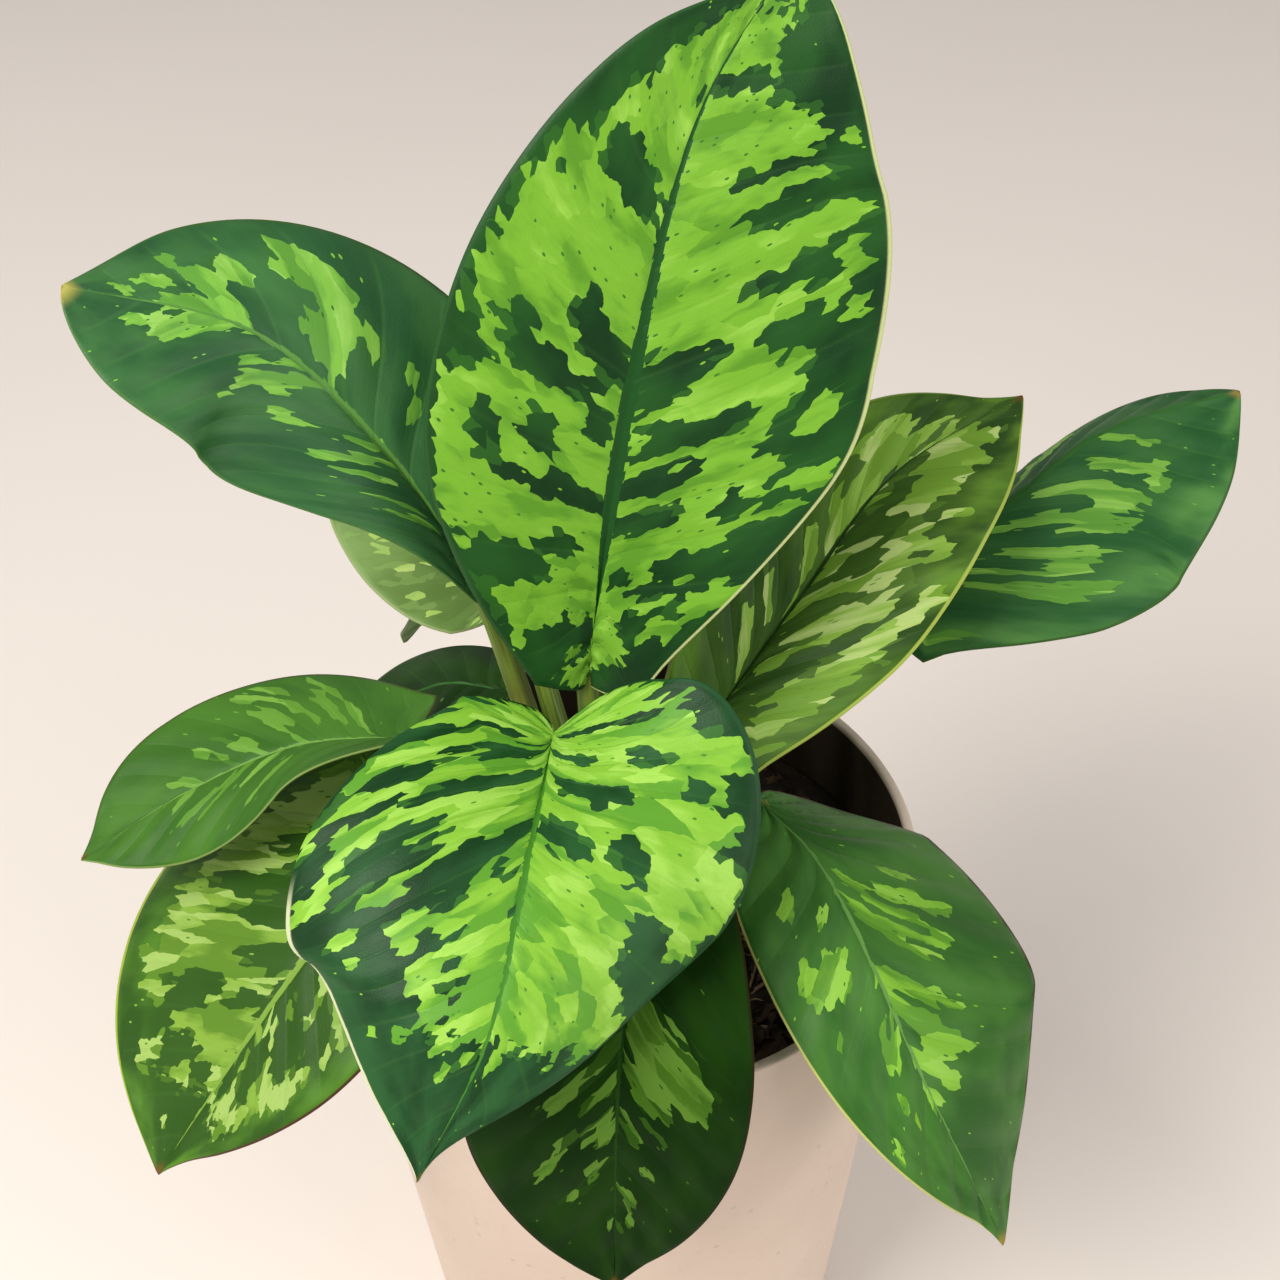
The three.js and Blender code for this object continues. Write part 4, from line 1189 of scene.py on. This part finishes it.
def build_pot():
    corners = [
        (0, 0, 0), (wall_at(0), 0, FOOT_ROUND), (wall_at(POT_HEIGHT), POT_HEIGHT, LIP_ROUND),
        (RIM_RADIUS - POT_WALL, POT_HEIGHT, LIP_ROUND), (wall_at(POT_FLOOR) - POT_WALL, POT_FLOOR, 2),
        (0, POT_FLOOR, 0),
    ]
    piece = make_piece("pot_smooth", *turned(rounded(corners), POT_SIDES), [pot_material])
    stands_for(piece, "pot")


def soil_height(x, y):
    """The loose top of the mix, flat where it meets the wall."""
    edge = wall_at(SOIL_TOP) - POT_WALL - CLEAR
    inside = 1 - np.minimum(1, np.hypot(x, y) / edge) ** 8
    lump = np.sin(x * 0.31 + y * 0.17) * np.sin(y * 0.37 - x * 0.11) + 0.6 * np.sin(x * 0.8 - y * 0.6)
    return SOIL_TOP + SOIL_LUMP * lump * inside, inside


def build_soil():
    bottom = POT_FLOOR + CLEAR
    foot, edge = (wall_at(height) - POT_WALL - CLEAR for height in (bottom, SOIL_TOP))
    inwards = [(edge * k / SOIL_RINGS, SOIL_TOP) for k in range(SOIL_RINGS, -1, -1)]
    points, faces = turned(np.array([(0, bottom), (foot, bottom), *inwards], float), SOIL_SIDES)
    x, y, z = points.T
    height, inside = soil_height(x, y)
    on_top = z > SOIL_TOP - 1
    points[:, 2] = np.where(on_top, height, z)
    piece = make_piece("soil_crumb", points, faces, scalars={"loose": np.where(on_top, inside, 0)})
    values = {"Clump": 2.2, "Clump Scale": 160.0, "Grain": 1.0, "Grain Scale": 600.0}
    apply_tree(piece, crumb_tree(), {**values, "Material": mix_material})
    stands_for(piece, "soil")


def build_litter():
    """Chips of bark all over the mix, coarse ones and fine ones."""
    tree = litter_tree()
    angle = np.linspace(0, 2 * math.pi, LITTER_SIDES, endpoint=False)
    reach = np.linspace(0, LITTER_RADIUS, LITTER_RINGS)[1:, None]
    x, y = (np.append(reach * along, 0) for along in (np.cos(angle), np.sin(angle)))
    points = np.stack([x, y, soil_height(x, y)[0]], axis=1)
    ring = np.arange(LITTER_SIDES)
    after = (ring + 1) % LITTER_SIDES
    faces = [(len(points) - 1, a, b) for a, b in zip(ring, after)]
    for k in range(LITTER_RINGS - 2):
        near, far = k * LITTER_SIDES, (k + 1) * LITTER_SIDES
        faces += [(near + a, far + a, far + b, near + b) for a, b in zip(ring, after)]
    for name, density, smallest, largest, seed in LITTER:
        piece = make_piece(name, points, faces)
        sizes = {"Density": density, "Smallest": smallest, "Largest": largest, "Ragged": 0.35 * largest}
        apply_tree(piece, tree, {**sizes, "Tilt": CHIP_TILT, "Seed": seed, "Material": bark_material})
        stands_for(piece, "soil")


def build_roots():
    """Fine pale roots that curl over the mix, and dip in and out of it."""
    random = np.random.default_rng(ROOT_SEED)
    points, faces = [], []
    start = 0
    for _ in range(ROOTS):
        steps = int(random.integers(*ROOT_STEPS))
        place = random.uniform(-1, 1, 2) * LITTER_RADIUS * ROOT_START
        heading, bend = random.uniform(0, 2 * math.pi), random.normal(0, ROOT_BEND)
        line = []
        for k in range(steps):
            heading += bend + random.normal(0, ROOT_WANDER)
            place = place + ROOT_STEP * np.array([math.cos(heading), math.sin(heading)])
            if np.hypot(*place) > LITTER_RADIUS:
                break
            arch = ROOT_ARCH * math.sin(ARCH_PACE * k + bend * 40)
            line.append([*place, soil_height(*place)[0] + arch])
        if len(line) < SHORTEST_ROOT:
            continue
        line = np.array(line)
        forward = unit(np.gradient(line, axis=0))
        across = unit(np.cross(forward, [0, 0, 1.0]))
        above = np.cross(across, forward)
        width = (random.uniform(*ROOT_RADIUS) * np.linspace(1, ROOT_TAPER, len(line)))[:, None, None]
        angle = np.linspace(0, 2 * math.pi, ROOT_SIDES, endpoint=False)[None, :, None]
        spokes = np.sin(angle) * above[:, None] - np.cos(angle) * across[:, None]
        rings = line[:, None] + width * spokes
        own_points, own_faces = tube(rings, line[0], line[-1])
        points.append(own_points)
        faces += [[v + start for v in face] for face in own_faces]
        start += len(own_points)
    piece = make_piece("soil_roots", np.vstack(points), faces, [root_material])
    stands_for(piece, "soil")


def build_stem():
    piece = make_piece("stem_crown", *turned(rounded(STEM_CORNERS), STEM_SIDES), [stalk_material])
    stands_for(piece, "stem")


for leaf_seed, (leaf_name, leaf_values) in enumerate(LEAVES.items()):
    build_leaf(leaf_name, leaf_values, leaf_seed)
build_pot()
build_soil()
build_litter()
build_roots()
build_stem()


# Floor, light and camera, in metres and degrees.

FLOOR_HALF = 4.0
CAMERA_PLACE = (0.0049, -0.252, 0.462)
CAMERA_LOOKS_DOWN = 41.4
CAMERA_ROLL = -1.2
CAMERA_LENS = 47.81
SKY_STRENGTH = 0.46
MIDDLE = (0, 0, 0.2)


def add_floor():
    mesh = bpy.data.meshes.new("floor")
    corners = [(x * FLOOR_HALF, y * FLOOR_HALF, 0) for x, y in ((-1, -1), (1, -1), (1, 1), (-1, 1))]
    mesh.from_pydata(corners, [], [(0, 1, 2, 3)])
    floor = bpy.data.objects.new("floor", mesh)
    bpy.context.scene.collection.objects.link(floor)
    mesh.materials.append(floor_finish())


def add_light(name, place, size, power, colour):
    data = bpy.data.lights.new(name, "AREA")
    data.size = size
    data.energy = power
    data.color = colour
    light = bpy.data.objects.new(name, data)
    bpy.context.scene.collection.objects.link(light)
    light.location = place
    light.rotation_euler = (light.location - Vector(MIDDLE)).to_track_quat("Z", "Y").to_euler()


def add_camera():
    data = bpy.data.cameras.new("photo_view")
    data.sensor_width = 36
    data.lens = CAMERA_LENS
    camera = bpy.data.objects.new("photo_view", data)
    bpy.context.scene.collection.objects.link(camera)
    camera.location = CAMERA_PLACE
    camera.rotation_mode = "XYZ"
    tilt = Matrix.Rotation(math.radians(90 - CAMERA_LOOKS_DOWN), 4, "X")
    roll = Matrix.Rotation(math.radians(CAMERA_ROLL), 4, "Z")
    camera.rotation_euler = (tilt @ roll).to_euler()
    bpy.context.scene.camera = camera


def add_world():
    world = bpy.data.worlds.new("soft_studio")
    world.use_nodes = True
    background = world.node_tree.nodes["Background"]
    background.inputs["Color"].default_value = (1, 0.97, 0.94, 1)
    background.inputs["Strength"].default_value = SKY_STRENGTH
    bpy.context.scene.world = world


add_floor()
add_world()
add_light("key", (-0.7, -0.5, 1.1), 0.7, 15, (1, 0.97, 0.92))
add_light("fill", (0.9, -0.6, 0.7), 0.8, 5, (1, 0.98, 0.96))
add_camera()
bpy.context.scene.view_settings.view_transform = "Standard"
